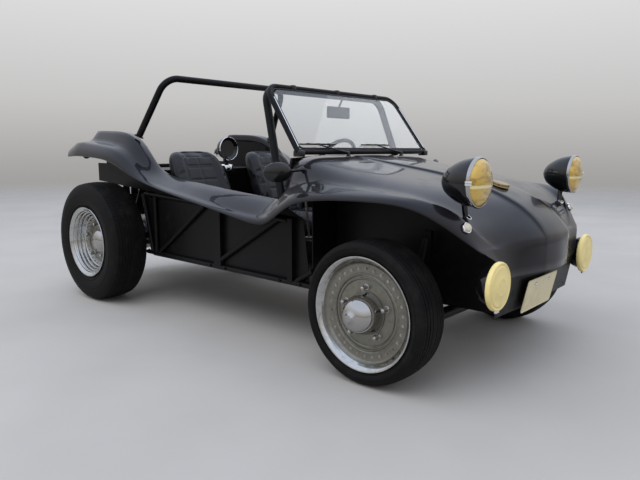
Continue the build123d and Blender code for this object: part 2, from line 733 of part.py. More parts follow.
def steering_column():
    """Column tube from the wheel through the dash to the toe board."""
    plane = steering_frame()
    start = plane.from_local_coords(Vector(0, 0, -14 - SEAT_GAP))
    corner = COLUMN_R * sin(radians(STEER_RAKE))
    run = (FOOT_X - SEAT_GAP - corner - start.X) / plane.z_dir.X
    end = start + plane.z_dir * run
    return rod(tuple(start), tuple(end), COLUMN_R)


def controls():
    """Three pedals, the gear lever and the brake lever."""
    pieces = []
    for y in (250, 320, 390):
        base = box(FOOT_X - 24, FOOT_X - 4, y - 10, y + 10, FLOOR_Z + FLOOR_T, FLOOR_Z + FLOOR_T + 12)
        arm = rod((FOOT_X - 14, y, FLOOR_Z + FLOOR_T + 6), (FOOT_X - 70, y, 470), 6)
        pad = box(FOOT_X - 86, FOOT_X - 72, y - 24, y + 24, 430, 500)
        pieces.append(fused([base, arm, pad]))
    tunnel_top = FLOOR_Z + FLOOR_T + 120
    boot = box(-925, -875, -25, 25, tunnel_top, tunnel_top + 12)
    lever = rod((-900, 0, tunnel_top + 6), (-930, 0, 640), 7)
    knob = Pos(-930, 0, 645) * Sphere(23)
    pieces.append(fused([boot, lever, knob]))
    pieces.append(rod((-1060, 0, tunnel_top + 12), (-1290, 0, tunnel_top + 110), 11))
    pieces.append(box(-1080, -1040, -14, 14, tunnel_top, tunnel_top + 18))
    return [*pieces[:4], fused(pieces[4:])]


LAMP_R = 90
HEAD_LAMP = (372, 490, 798)
DRIVE_LAMP = (440, 468, 430)


def head_bucket(side):
    """Bullet shaped bucket on its stem."""
    x, y, z = HEAD_LAMP
    shape = [(0, LAMP_R - 4), (-30, LAMP_R - 3), (-80, 74), (-120, 52), (-142, 26), (-148, 0), (0, 0)]
    outline = Wire.make_polygon([(a, 0, r) for a, r in shape], close=True)
    bucket = Pos(x, side * y, z) * revolve(Face(outline), axis=Axis.X, revolution_arc=360)
    spot, out = panel_point(front_stations(7, 9), 4, 3, 0.5, 0.84)
    foot = rod(on_side(spot + out * 0.8, side), on_side(spot + out * 10, side), 17)
    stem = rod(on_side(spot + out * 6, side), (x - 62, side * y, z - 52), 10)
    return fused([bucket, stem, foot])


def head_rim(side):
    """Rim ring of the headlamp."""
    x, y, z = HEAD_LAMP
    shape = [(SEAT_GAP, LAMP_R - 16), (SEAT_GAP, LAMP_R), (12, LAMP_R + 3), (20, LAMP_R - 6),
             (20, LAMP_R - 16)]
    outline = Wire.make_polygon([(a, 0, r) for a, r in shape], close=True)
    return Pos(x, side * y, z) * revolve(Face(outline), axis=Axis.X, revolution_arc=360)


def head_lens(side):
    """Domed lens inside the rim."""
    x, y, z = HEAD_LAMP
    r = LAMP_R - 16 - SEAT_GAP
    shape = [(SEAT_GAP, 0), (SEAT_GAP, r), (16, r), (24, 0.72 * r), (29, 0.36 * r), (31, 0)]
    outline = Wire.make_polygon([(a, 0, q) for a, q in shape], close=True)
    return Pos(x, side * y, z) * revolve(Face(outline), axis=Axis.X, revolution_arc=360)


def drive_lamp(side):
    """Round lamp body on a bracket from the pan."""
    x, y, z = DRIVE_LAMP
    shape = [(0, 0), (0, LAMP_R - 16), (-20, LAMP_R - 18), (-52, 58), (-66, 36), (-68, 0)]
    outline = Wire.make_polygon([(a, 0, r) for a, r in shape], close=True)
    body = Pos(x, side * y, z) * revolve(Face(outline), axis=Axis.X, revolution_arc=360)
    bx, bz = x - 50, z + 26
    bracket = rod((bx, side * (y - 40), bz), (bx, side * (INNER_WALL_Y + SEAT_GAP), bz), 9)
    return fused([body, bracket])


def drive_cover(side):
    """Round cover clipped over the lamp, with a raised rim and a tab."""
    x, y, z = DRIVE_LAMP
    shape = [(SEAT_GAP, 0), (SEAT_GAP, LAMP_R), (14, LAMP_R), (20, LAMP_R - 7), (15, LAMP_R - 14),
             (19, LAMP_R - 22), (24, 30), (25, 0)]
    outline = Wire.make_polygon([(a, 0, r) for a, r in shape], close=True)
    cover = Pos(x, side * y, z) * revolve(Face(outline), axis=Axis.X, revolution_arc=360)
    tab = box(x + 2, x + 12, side * y - 14, side * y + 14, z - LAMP_R - 8, z - LAMP_R + 4)
    return fused([cover, tab])


def turn_signal(side):
    """Small round lamp on the flank of the front fender, ahead of the headlamp."""
    spot, out = panel_point(front_stations(8, 10), 2, 1, 0.4, 0.5)
    return rod(on_side(spot + out * 0.8, side), on_side(spot + out * 20, side), 17)


def tail_lamp(side):
    """Round lamp on the tail of each fender."""
    x = SIDE_BODY[-1][0] - SHELL
    return rod((x, side * 546, 876), (x - 26, side * 546, 876), 26)


PLATE_W = 305
PLATE_H = 140
PLATE_LIFT = 8
PLATE_Y = -35


def licence_plate():
    """Blank plate in front of the chin on two spacers."""
    (_, top, foot), (wide, top_wide, _), fall = CHIN[0], CHIN[1], CHIN_TOP_Z - CHIN_FOOT_Z
    down = Vector(foot - top, 0, -fall).normalized()
    out = Vector(fall, 0, foot - top).normalized()
    start = Vector(top, PLATE_Y, CHIN_TOP_Z) + down * 30 + out * PLATE_LIFT
    pieces = [plate([(-PLATE_W / 2, -PLATE_H), (PLATE_W / 2, -PLATE_H), (PLATE_W / 2, 0), (-PLATE_W / 2, 0)],
                    Plane(origin=start, x_dir=(0, 1, 0), z_dir=out), 3)]
    for y in (PLATE_Y - 70, PLATE_Y + 70):
        back = (top - top_wide) * abs(y) / wide
        spot = Vector(top - back, y, CHIN_TOP_Z) + down * 60
        pieces.append(rod(tuple(spot + out * 0.8), tuple(spot + out * (PLATE_LIFT + back + 1)), 7))
    return fused(pieces)


def mirrors():
    """A door mirror on each side of the cowl."""
    spot, out = panel_point(front_stations(1, 3), 4, 3, 0.4, 0.5)
    pieces = []
    for side in (-1, 1):
        head = Pos(-490, side * 665, 828) * Rot(0, 0, side * -16) * scale(Sphere(42), (0.45, 1.95, 0.92))
        foot = rod(on_side(spot + out * 0.6, side), on_side(spot + out * 12, side), 12)
        stalk = rod(on_side(spot + out * 8, side), (-484, side * 650, 824), 7)
        pieces.append(fused([head, stalk, foot]))
    return pieces


def screen_mirror():
    """Inside mirror hung from the top of the windscreen frame."""
    x, z = SCREEN_TOP
    glass = box(x - 50, x - 34, -25, 160, z - 128, z - 66)
    arm = rod((x - 5.4, 66, z - 12.1), (x - 42, 66, z - 80), 6)
    return fused([glass, arm])


CAP_X = 222
CAP_H = 26


def fuel_cap():
    """Round filler cap on the hood band."""
    rear, front = FRONT_BODY[5], FRONT_BODY[6]
    slope = atan2(rear[1] - front[1], front[0] - rear[0])
    x = CAP_X
    z = rear[1] - (x - rear[0]) * (rear[1] - front[1]) / (front[0] - rear[0]) + BAND_RISE + CROWN
    lift = CAP_H / 2 + SEAT_GAP
    return Pos(x + lift * sin(slope), 0, z + lift * cos(slope)) * Rot(0, degrees(slope), 0) * Cylinder(38, CAP_H)


def round_pod():
    """Round pod with a rim on a short post between the seat backs."""
    x, z = REAR_WALL_X + 48, 915
    bowl = rod((x - 60, 0, z), (x, 0, z), 70)
    ring = rod((x, 0, z), (x + 10, 0, z), 76)
    post = rod((x - 30, 0, z - 60), (x - 30, 0, DECK_Z - 60), 14)
    foot = rod((x - 30, 0, DECK_Z - 60), (REAR_WALL_X + SEAT_GAP, 0, DECK_Z - 60), 14)
    return fused([bowl, ring, post, foot])


def save_wheels():
    """Tyre, rim and drum of each wheel."""
    # axle, x, tyre radius, tyre width, rim radius, face y, dish, hub y, cap
    rows = [
        ("front", 0, FRONT_TYRE_R, FRONT_TYRE_W, FRONT_RIM_R, FRONT_RIM_FACE, 38, FRONT_HUB_Y, LONG_CAP),
        ("rear", -WHEELBASE, REAR_TYRE_R, REAR_TYRE_W, REAR_RIM_R, REAR_RIM_FACE, 82, REAR_HUB_Y, SHORT_CAP),
    ]
    for axle, x, r, w, rim_r, face, dish, hub_y, cap in rows:
        back = face - w + 14
        bead = (face - back) / 2 - RIM_LIP - SEAT_GAP
        for end, side in (("right", -1), ("left", 1)):
            name = f"{axle}_{end}"
            save(f"tyre_{name}", tyre(x, r, w, rim_r, bead, side, (face + back) / 2))
            save(f"rim_{name}", rim(x, r, rim_r, face, back, dish, side, cap))
            save(f"drum_{name}", drum(x, r, face - dish, hub_y, side))


def main():
    """Builds and writes every node."""
    left_side = body_side()
    save("body_front", body_front())
    save("body_side_left", left_side)
    save("body_side_right", mirror(left_side, about=Plane.XZ))
    save("body_deck", body_deck())
    save("floor_pan", floor_pan())
    save("tub_panels", tub_panels())
    save("inner_walls", inner_walls())
    save("dash", dash())
    save("side_truss", side_truss())
    save("hoop_front", hoop_front())
    save("hoop_rear", hoop_rear())
    save("windscreen_frame", windscreen_frame())
    save("windscreen_glass", windscreen_glass())
    save("wipers", wipers())
    save_wheels()
    save("knuckle_right", knuckle(-1))
    save("knuckle_left", knuckle(1))
    save("front_axle", front_axle())
    save("rear_axle", rear_axle())
    save("transaxle", transaxle())
    save("engine", engine())
    save("fan_shroud", fan_shroud())
    save("exhaust", exhaust())
    save("air_cleaners", air_cleaners())
    save("seat_right", seat(-1))
    save("seat_left", seat(1))
    save("seat_rails", seat_rails())
    save("steering_wheel", steering_wheel())
    save("steering_column", steering_column())
    save("controls", controls())
    save("headlamp_buckets", [head_bucket(-1), head_bucket(1)])
    save("headlamp_rims", [head_rim(-1), head_rim(1)])
    save("headlamp_lenses", [head_lens(-1), head_lens(1)])
    save("driving_lamps", [drive_lamp(-1), drive_lamp(1)])
    save("driving_lamp_covers", [drive_cover(-1), drive_cover(1)])
    save("turn_signals", [turn_signal(-1), turn_signal(1)])
    save("tail_lamps", [tail_lamp(-1), tail_lamp(1)])
    save("licence_plate", licence_plate())
    save("mirrors", mirrors())
    save("screen_mirror", screen_mirror())
    save("fuel_cap", fuel_cap())
    save("round_pod", round_pod())


main()
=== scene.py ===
import json
import math
from math import cos, pi, radians, sin

import bmesh
import bpy
from mathutils import Matrix, Vector
from mathutils.bvhtree import BVHTree


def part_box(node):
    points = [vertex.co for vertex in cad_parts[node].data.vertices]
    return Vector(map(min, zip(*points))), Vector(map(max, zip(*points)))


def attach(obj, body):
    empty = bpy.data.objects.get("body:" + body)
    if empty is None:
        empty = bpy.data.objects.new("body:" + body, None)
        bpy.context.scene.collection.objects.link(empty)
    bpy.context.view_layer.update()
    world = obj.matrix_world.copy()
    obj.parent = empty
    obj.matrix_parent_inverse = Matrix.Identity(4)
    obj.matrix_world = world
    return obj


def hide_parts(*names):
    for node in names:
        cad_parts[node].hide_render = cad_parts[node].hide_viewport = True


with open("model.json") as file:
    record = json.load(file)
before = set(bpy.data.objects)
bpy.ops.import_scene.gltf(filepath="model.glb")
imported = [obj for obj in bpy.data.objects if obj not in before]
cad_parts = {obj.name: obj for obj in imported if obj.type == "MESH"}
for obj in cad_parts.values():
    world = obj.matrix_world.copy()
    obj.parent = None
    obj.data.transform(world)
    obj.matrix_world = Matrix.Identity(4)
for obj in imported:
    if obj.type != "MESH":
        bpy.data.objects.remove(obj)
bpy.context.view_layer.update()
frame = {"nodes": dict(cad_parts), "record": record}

nodes = frame["nodes"]
frontAxleX = (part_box("rim_front_right")[0].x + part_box("rim_front_right")[1].x) / 2
print("frame loaded, front axle at", round(frontAxleX, 4))


# Camera, as the photograph was taken
camera = {"place": (2.3687, -2.4122, 0.9138), "yaw": 48.414, "pitch": 8.859, "roll": 0.175,
          "focalPixels": 583.3, "imageWide": 640, "sensor": 36.0}


def addCamera():
    yaw, pitch, roll = (radians(camera[key]) for key in ("yaw", "pitch", "roll"))
    ahead = Vector((-cos(yaw) * cos(pitch), sin(yaw) * cos(pitch), -sin(pitch)))
    right = ahead.cross(Vector((0, 0, 1))).normalized()
    up = right.cross(ahead)
    turned = cos(roll) * right + sin(roll) * up
    up = cos(roll) * up - sin(roll) * right
    data = bpy.data.cameras.new("camera")
    data.sensor_width = camera["sensor"]
    data.lens = camera["focalPixels"] / camera["imageWide"] * camera["sensor"]
    obj = bpy.data.objects.new("camera", data)
    turn = Matrix((turned, up, -ahead)).transposed().to_4x4()
    obj.matrix_world = Matrix.Translation(camera["place"]) @ turn
    bpy.context.collection.objects.link(obj)
    bpy.context.scene.camera = obj


# One socket of a material. An expression on sockets adds its Math nodes
class Val:
    def __init__(self, finish, socket):
        self.finish = finish
        self.socket = socket

    def maths(self, operation, *values):
        inputs = {i: v for i, v in enumerate(values)}
        return self.finish.node("ShaderNodeMath", {"operation": operation}, inputs)

    def __add__(self, other):
        return self.maths("ADD", self, other)

    def __radd__(self, other):
        return self.maths("ADD", other, self)

    def __sub__(self, other):
        return self.maths("SUBTRACT", self, other)

    def __rsub__(self, other):
        return self.maths("SUBTRACT", other, self)

    def __mul__(self, other):
        return self.maths("MULTIPLY", self, other)

    def __rmul__(self, other):
        return self.maths("MULTIPLY", other, self)

    def __pow__(self, other):
        return self.maths("POWER", self, other)

    def sine(self):
        return self.maths("SINE", self)

    def size(self):
        return self.maths("ABSOLUTE", self)

    def ramp(self, low, high, start=0.0, end=1.0):
        settings = {"interpolation_type": "SMOOTHSTEP"}
        values = {"Value": self, "From Min": low, "From Max": high, "To Min": start, "To Max": end}
        return self.finish.node("ShaderNodeMapRange", settings, values)


constantSockets = {"metal": "Metallic", "coat": "Coat Weight", "coatRough": "Coat Roughness", "coatIor": "Coat IOR",
                   "ior": "IOR", "clear": "Transmission Weight", "specular": "Specular IOR Level"}


# One material: a Principled shader and the nodes that feed it
class Finish:
    def __init__(self, name, color, rough, **constants):
        self.made = bpy.data.materials.new(name)
        self.made.use_nodes = True
        self.tree = self.made.node_tree
        self.shader = self.tree.nodes["Principled BSDF"]
        self.set("Base Color", (*color, 1.0))
        self.set("Roughness", rough)
        for key, value in constants.items():
            self.set(constantSockets[key], value)
        self.made.diffuse_color = (*color, 1.0)

    def feed(self, socket, value):
        if isinstance(value, Val):
            self.tree.links.new(value.socket, socket)
        else:
            socket.default_value = value

    def set(self, socket, value):
        self.feed(self.shader.inputs[socket], value)

    def node(self, kind, settings=None, inputs=None, out=0):
        made = self.tree.nodes.new(kind)
        for key, value in (settings or {}).items():
            setattr(made, key, value)
        for key, value in (inputs or {}).items():
            self.feed(made.inputs[key], value)
        return Val(self, made.outputs[out])

    def place(self, scale=(1, 1, 1)):
        onObject = self.node("ShaderNodeTexCoord", out=3)
        return self.node("ShaderNodeMapping", None, {"Vector": onObject, "Scale": scale})

    def noise(self, scale, detail, at=None):
        inputs = {"Scale": scale, "Detail": detail, "Vector": at or self.place()}
        return self.node("ShaderNodeTexNoise", None, inputs)

    def cells(self, scale, feature="F1"):
        return self.node("ShaderNodeTexVoronoi", {"feature": feature}, {"Scale": scale, "Vector": self.place()})

    def mix(self, amount, first, second):
        first, second = ((*c, 1.0) if isinstance(c, tuple) else c for c in (first, second))
        inputs = {0: amount, 6: first, 7: second}
        return self.node("ShaderNodeMix", {"data_type": "RGBA"}, inputs, out=2)

    def axes(self):
        split = self.node("ShaderNodeSeparateXYZ", None, {"Vector": self.place()})
        return [Val(self, output) for output in split.socket.node.outputs]

    def bump(self, height, distance, strength):
        inputs = {"Height": height, "Distance": distance, "Strength": strength}
        self.set("Normal", self.node("ShaderNodeBump", None, inputs))


charcoal = {"plain": (0.016, 0.015, 0.018), "flake": (0.030, 0.027, 0.036), "rough": 0.3, "dusty": 0.12,
            "tones": ((0.0125, 0.0115, 0.0145), (0.0090, 0.0088, 0.0105))}


# Dark metal flake under a clear coat
def bodyPaint():
    m = Finish("charcoalPaint", charcoal["plain"], charcoal["rough"], metal=0.25, specular=0.06,
               coat=0.6, coatRough=0.012, coatIor=1.45)
    flake = m.cells(2100).ramp(0.1, 0.42)
    tone = m.mix(m.noise(2.2, 4).ramp(0.35, 0.65), *charcoal["tones"])
    m.set("Base Color", m.mix(flake, charcoal["flake"], tone))
    m.set("Roughness", charcoal["rough"] + charcoal["dusty"] * m.noise(7.0, 6).ramp(0.42, 0.75))
    m.bump(m.noise(70.0, 2), 0.0002, 0.2)
    return m.made


# Worn in patches: plain colour, colours of the clean and the worn places, roughness and what the wear adds to it,
# noise of the patches (scale, detail, from, to) and of the grain (scale, detail, depth, strength)
def wornFinish(name, plain, tones, rough, dull, patches, grain=None, **constants):
    m = Finish(name, plain, rough, **constants)
    worn = m.noise(*patches[:2]).ramp(*patches[2:])
    m.set("Base Color", m.mix(worn, *tones))
    if dull:
        m.set("Roughness", rough + dull * worn)
    if grain:
        m.bump(m.noise(*grain[:2]), *grain[2:])
    return m.made


def blackPaint(name, rough, shine=0.16):
    tones = ((0.0042, 0.0042, 0.0046), (0.0085, 0.0082, 0.008))
    return wornFinish(name, (0.005, 0.005, 0.0055), tones, rough, 0.18,
                      patches=(24.0, 6, 0.5, 0.8), grain=(420.0, 2, 0.0003, 0.15), specular=shine)


def polishedAlloy(name, color, rough):
    return wornFinish(name, color, (color, tuple(0.8 * c for c in color)), rough, 0.16,
                      patches=(60.0, 6, 0.4, 0.8), grain=(900.0, 2, 0.00005, 0.3), metal=1.0)


def plastic(name, color, rough, **extra):
    return wornFinish(name, color, (color, tuple(0.86 * c + 0.003 for c in color)), rough, 0.1,
                      patches=(16.0, 5, 0.4, 0.8), grain=(500.0, 2, 0.0002, 0.15), **extra)


def chrome(name, color):
    m = Finish(name, color, 0.05, metal=1.0)
    m.set("Roughness", 0.04 + 0.09 * m.noise(35.0, 5).ramp(0.5, 0.8))
    return m.made


def vinyl():
    m = Finish("blackVinyl", (0.011, 0.0115, 0.013), 0.36, specular=0.35)
    rub = m.noise(11.0, 5).ramp(0.45, 0.75)
    m.set("Base Color", m.mix(rub, (0.0075, 0.008, 0.0095), (0.014, 0.0145, 0.017)))
    m.set("Roughness", 0.36 + 0.16 * rub)
    m.bump(m.cells(520.0, "SMOOTH_F1") + 0.6 * m.noise(90.0, 4), 0.0006, 0.35)
    return m.made


# Fluted yellow lens over a bright bowl, with one paler band across it that is a painted highlight
def lampGlass():
    m = Finish("amberGlassPaintedHighlight", (0.80, 0.52, 0.10), 0.12, coat=1.0, coatRough=0.02, metal=0.35)
    _, y, z = m.axes()
    deep = m.noise(22.0, 3, m.place((1, 1, 2.2))).ramp(0.42, 0.66)
    # paler band at one height across the lens: a painted highlight
    band = (z - 0.785).size().ramp(0.002, 0.008, 1.0, 0.0)
    color = m.mix(deep, (0.66, 0.43, 0.075), (0.36, 0.215, 0.030))
    m.set("Base Color", m.mix(band, color, (0.92, 0.80, 0.40)))
    m.bump((y * 900.0).sine(), 0.0005, 0.35)
    return m.made


def clearGlass():
    m = Finish("clearGlass", (0.93, 0.95, 0.945), 0.01, clear=1.0, ior=1.45)
    m.set("Roughness", 0.005 + 0.03 * m.noise(5.0, 6).ramp(0.5, 0.85))
    return m.made


def makeFinishes():
    return {
        "body_paint": bodyPaint(),
        "black_paint": blackPaint("blackPaint", 0.38),
        "gloss_black": blackPaint("glossBlack", 0.1, 0.5),
        "underside": blackPaint("underside", 0.6, 0.15),
        "clear_glass": clearGlass(),
        "black_plastic": plastic("blackPlastic", (0.008, 0.008, 0.009), 0.42, specular=0.35),
        "cast_parts": wornFinish("castIron", (0.05, 0.048, 0.046), ((0.045, 0.044, 0.044), (0.11, 0.06, 0.035)),
                                 0.62, 0, patches=(26.0, 6, 0.56, 0.74), grain=(300.0, 4, 0.0008, 0.4), metal=0.4),
        "cast_alloy": wornFinish("castAlloy", (0.36, 0.36, 0.37), ((0.40, 0.40, 0.41), (0.16, 0.14, 0.12)), 0.45, 0.3,
                                 patches=(14.0, 6, 0.45, 0.7), grain=(350.0, 4, 0.0008, 0.4), metal=0.85),
        "steel": wornFinish("dullSteel", (0.42, 0.40, 0.38), ((0.46, 0.44, 0.42), (0.25, 0.19, 0.14)), 0.3, 0.25,
                            patches=(9.0, 5, 0.45, 0.75), metal=1.0),
        "tyre": wornFinish("tyreRubber", (0.009, 0.0088, 0.009), ((0.0062, 0.0060, 0.0062), (0.016, 0.0145, 0.0125)),
                           0.62, 0.22, patches=(18.0, 7, 0.45, 0.8), grain=(800.0, 3, 0.0003, 0.3), specular=0.12),
        "polished_alloy": polishedAlloy("polishedAlloy", (0.50, 0.50, 0.49), 0.06),
        # brushed alloy tinted dark olive: painted shade and a painted reflection of the ground on the rim face
        "brushed_alloy": polishedAlloy("brushedAlloyPaintedShade", (0.24, 0.232, 0.198), 0.28),
        "chrome_trim": chrome("chromeTrim", (0.83, 0.84, 0.86)),
        # chrome darkened as painted shade, standing in for the dark surroundings it reflects
        "chrome_painted_shade": chrome("chromePaintedShade", (0.42, 0.41, 0.395)),
        "mirror_glass": chrome("mirrorGlass", (0.70, 0.72, 0.75)),
        "brass_cap": chrome("brassCap", (0.34, 0.25, 0.11)),
        "seat_vinyl": vinyl(),
        "amber_glass": lampGlass(),
        "pale_plastic": plastic("creamPlastic", (0.88, 0.72, 0.30), 0.35),
        "pale_lens": plastic("paleLens", (0.62, 0.56, 0.44), 0.15, coat=0.8),
        "red_lens": plastic("redLens", (0.36, 0.012, 0.010), 0.12, coat=1.0),
        "plate_paint": plastic("platePaint", (0.72, 0.63, 0.38), 0.35, coat=0.2),
    }


finishes = makeFinishes()
print("materials made:", len(finishes))


def dressNodes():
    slotOf = {row["node"]: row["material_slot"] for row in frame["record"]["subparts"]}
    for name, obj in nodes.items():
        for slot in obj.material_slots:
            slot.material = finishes[slotOf[name]]


dressNodes()
addCamera()


# Shared makers. A place is in millimetres from the front axle, as the body is laid out. Side is 1 on the left
# and -1 on the right
def at(x, y, z):
    return Vector((frontAxleX + x / 1000, y / 1000, z / 1000))


def onSide(place, side):
    return at(place[0], side * place[1], place[2])


def towards(way, side):
    return Vector((way[0], side * way[1], way[2]))


def everything(bm):
    return bm.verts[:] + bm.edges[:] + bm.faces[:]


def edgesOf(verts):
    return list({e for v in verts for e in v.link_edges})


def facing(across, up, out):
    return Matrix((across, up, out)).transposed().to_4x4()


def chain(bm, points, closed=False):
    verts = [bm.verts.new(point) for point in points]
    ends = list(zip(verts, verts[1:])) + ([(verts[-1], verts[0])] if closed else [])
    return verts, [bm.edges.new(pair) for pair in ends]


# Points are along the axis and out from it
def turnedShape(bm, points, centre, axis, steps, closed=False):
    axis = Vector(axis).normalized()
    radial = Vector((0, 0, 1)) if abs(axis.z) < 0.1 else axis.cross(Vector((0, 1, 0))).normalized()
    line = [Vector(centre) + axis * a + radial * r for a, r in points]
    verts, edges = chain(bm, line, closed)
    bmesh.ops.spin(bm, geom=verts + edges, cent=centre, axis=axis, angle=2 * pi, steps=steps,
                   use_merge=True, use_duplicate=False)


def ringOf(bm, centre, axis, count):
    bmesh.ops.spin(bm, geom=everything(bm), cent=centre, axis=axis, angle=2 * pi * (count - 1) / count,
                   steps=count - 1, use_merge=False, use_duplicate=True)


def bar(bm, start, end, radius, endRadius=None, sides=12):
    start, end = Vector(start), Vector(end)
    turn = (end - start).to_track_quat("Z", "Y").to_matrix().to_4x4()
    bmesh.ops.create_cone(bm, cap_ends=True, segments=sides, radius1=radius,
                          radius2=radius if endRadius is None else endRadius, depth=(end - start).length,
                          matrix=Matrix.Translation((start + end) / 2) @ turn)


def cube(bm, place, size):
    return bmesh.ops.create_cube(bm, size=1, matrix=place @ Matrix.Diagonal((*size, 1)))["verts"]


def bevelled(bm, edges, offset, segments):
    bmesh.ops.bevel(bm, geom=edges, offset=offset, segments=segments, profile=0.5, affect="EDGES", material=-1)


def block(bm, low, high, edge):
    verts = cube(bm, Matrix.Translation((low + high) / 2), high - low)
    bevelled(bm, edgesOf(verts), edge, 3)


def blockAt(bm, spot, low, high, edge):
    block(bm, spot + Vector(low), spot + Vector(high), edge)


def addPiece(name, bm, body, finish, sharp=35, instead=()):
    bmesh.ops.remove_doubles(bm, verts=bm.verts, dist=0.00001)
    bmesh.ops.recalc_face_normals(bm, faces=bm.faces)
    for face in bm.faces:
        face.smooth = True
    for edge in bm.edges:
        edge.smooth = edge.calc_face_angle(0.0) < radians(sharp)
    mesh = bpy.data.meshes.new(name)
    bm.to_mesh(mesh)
    bm.free()
    mesh.materials.append(finishes[finish])
    obj = bpy.data.objects.new(name, mesh)
    bpy.context.collection.objects.link(obj)
    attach(obj, body)
    if instead:
        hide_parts(*instead)
    return obj


def newMeshes(rows):
    return [bmesh.new() for _ in rows]


# Pieces of one group: name, finish, slot, sharpest smooth angle, nodes it stands in for
def addPieces(rows, meshes, body="car"):
    for (name, finish, slot, sharp, *instead), bm in zip(rows, meshes):
        addPiece(name, bm, body, finish, sharp, instead)


def addPipe(name, points, radius, body, finish, closed=False):
    curve = bpy.data.curves.new(name, "CURVE")
    curve.dimensions = "3D"
    curve.bevel_depth = radius
    curve.bevel_resolution = 3
    curve.resolution_u = 6
    curve.use_fill_caps = True
    spline = curve.splines.new("NURBS")
    spline.points.add(len(points) - 1)
    for point, place in zip(spline.points, points):
        point.co = (*place, 1.0)
    spline.order_u = 3
    spline.use_endpoint_u = not closed
    spline.use_cyclic_u = closed
    curve.materials.append(finishes[finish])
    obj = bpy.data.objects.new(name, curve)
    bpy.context.collection.objects.link(obj)
    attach(obj, body)


def smoother(obj, levels):
    made = obj.modifiers.new("smooth", "SUBSURF")
    made.levels = made.render_levels = levels


def thicker(obj, thickness, inside):
    made = obj.modifiers.new("thick", "SOLIDIFY")
    made.thickness = thickness
    made.offset = -1.0
    made.material_offset = inside


# Body moulding, one skin from the nose to the tail. Millimetres from the front axle
bodySkin = {
    "thickness": 0.0045, "levels": 2,
    # Raised band of the hood: half width, its step's width and height, where it ends and how long it fades
    "bandY": 118, "bandStep": 8, "bandRise": 10, "bandEnd": -560, "bandFade": 300, "crown": 2,
    # Point between the band and the hood's edge, and point over the lip: shares across and down
    "slope": (0.62, 0.35), "lip": (0.1, 0.45),
    # x, centre z, hood edge y z, hollow y z, crease y z, lip y z
    "front": [
        (390, 668, 302, 606, 376, 560, 428, 560, 512, 556), (360, 688, 318, 630, 455, 606, 481, 616, 543, 584),
        (330, 703, 335, 648, 484, 638, 508, 664, 568, 612), (290, 722, 368, 676, 505, 670, 560, 708, 618, 655),
        (230, 745, 420, 728, 530, 706, 612, 732, 656, 694), (150, 770, 465, 766, 552, 741, 633, 747, 674, 716),
        (0, 808, 482, 790, 560, 757, 636, 757, 688, 722), (-250, 842, 500, 822, 558, 777, 626, 754, 672, 712),
        (-400, 868, 516, 858, 548, 783, 616, 741, 656, 686), (-480, 883, 520, 880, 538, 770, 610, 705, 646, 642),
        (-560, 888, 486, 876, 524, 742, 606, 648, 640, 590)],
    # y, then x z of four points down the nose, for each column out to the crease
    "nose": [
        (0, 430, 650, 462, 619, 496, 575, 507, 440), (118, 428, 647, 458, 615, 484, 573, 487, 440),
        (126, 427, 638, 456, 607, 482, 571, 485, 440), (187, 418, 629, 446, 601, 470, 571, 467, 439),
        (302, 397, 598, 405, 580, 412, 561, 436, 438), (376, 395, 560, 402, 554, 408, 547, 434, 436),
        (402, 394, 558, 398, 554, 402, 551, 428, 472), (428, 392, 559, 394, 556, 397, 553, 420, 507)],
    "noseCorner": [  # bulge, then lip
        [(392, 490, 556), (395, 480, 552), (400, 468, 545), (412, 452, 522)],
        [(394, 503, 551), (397, 494, 546), (402, 482, 541), (405, 475, 537)]],
    # x, inner edge y z, top y z, foot of shoulder y z, crease y z, lip y z
    "side": [
        (-605, 492, 681, 526, 672, 574, 646, 605, 618, 641, 574),
        (-670, 484, 684, 530, 669, 572, 638, 604, 610, 643, 575),
        (-800, 480, 693, 530, 678, 572, 645, 605, 618, 645, 597),
        (-1000, 480, 710, 530, 696, 574, 666, 608, 648, 648, 631),
        (-1200, 480, 730, 530, 718, 576, 694, 612, 681, 655, 665),
        (-1400, 478, 747, 530, 737, 582, 722, 622, 711, 666, 703),
        (-1530, 494, 770, 534, 768, 592, 756, 640, 750, 680, 736),
        (-1620, 498, 814, 540, 822, 598, 800, 652, 798, 690, 768),
        (-1730, 500, 938, 556, 958, 604, 898, 662, 880, 698, 815),
        (-1850, 496, 1006, 562, 1012, 600, 932, 668, 917, 702, 850),
        (-2000, 493, 1016, 561, 1020, 598, 950, 668, 936, 701, 860),
        (-2185, 490, 1020, 560, 1024, 597, 962, 668, 950, 700, 868),
        (-2246, 490, 960, 556, 966, 595, 956, 665, 949, 698, 866),
        (-2370, 490, 914, 554, 926, 595, 924, 646, 922, 680, 860)],
    "innerTurn": (3, 42), "railStart": [(499, 640), (503, 690)],
    # Closed tail: its middle, then the share of the way to it and metres ahead of it for each step
    "tail": (-2384, 580, 890), "tailSteps": [(0.14, 0.006), (0.6, 0), (1, 0)],
    "creases": {"band": 0.97, "crest": 0.97, "ridge": 0.93, "rail": 0.45, "shoulder": 0.95, "step": 0.92},
}


def overLip(y, z, lipY, lipZ):
    across, down = bodySkin["lip"]
    return lipY - across * (lipY - y), z - down * (z - lipZ)


def frontLine(row):
    x, zc, y4, z4, y5, z5, y6, z6, y8, z8 = row
    rise = bodySkin["bandRise"] * min(1, (x - bodySkin["bandEnd"]) / bodySkin["bandFade"])
    band, step, (across, down) = bodySkin["bandY"], bodySkin["bandStep"], bodySkin["slope"]
    return [at(x, y, z) for y, z in (
        (0, zc + rise + bodySkin["crown"]), (band, zc + rise), (band + step, zc), (across * y4, zc - down * (zc - z4)),
        (y4, z4), (y5, z5), ((y5 + y6) / 2, (z5 + z6) / 2 + 2), (y6, z6), overLip(y6, z6, y8, z8), (y8, z8))]


def sideLine(row):
    x, y1, z1, y2, z2, y3, z3, y4, z4, y6, z6 = row
    inward, down = bodySkin["innerTurn"]
    return [at(x, y, z) for y, z in (
        (y1 - inward, z1 - down), (y1, z1), (y2, z2), (y3, z3), (y4, z4), overLip(y4, z4, y6, z6), (y6, z6))]


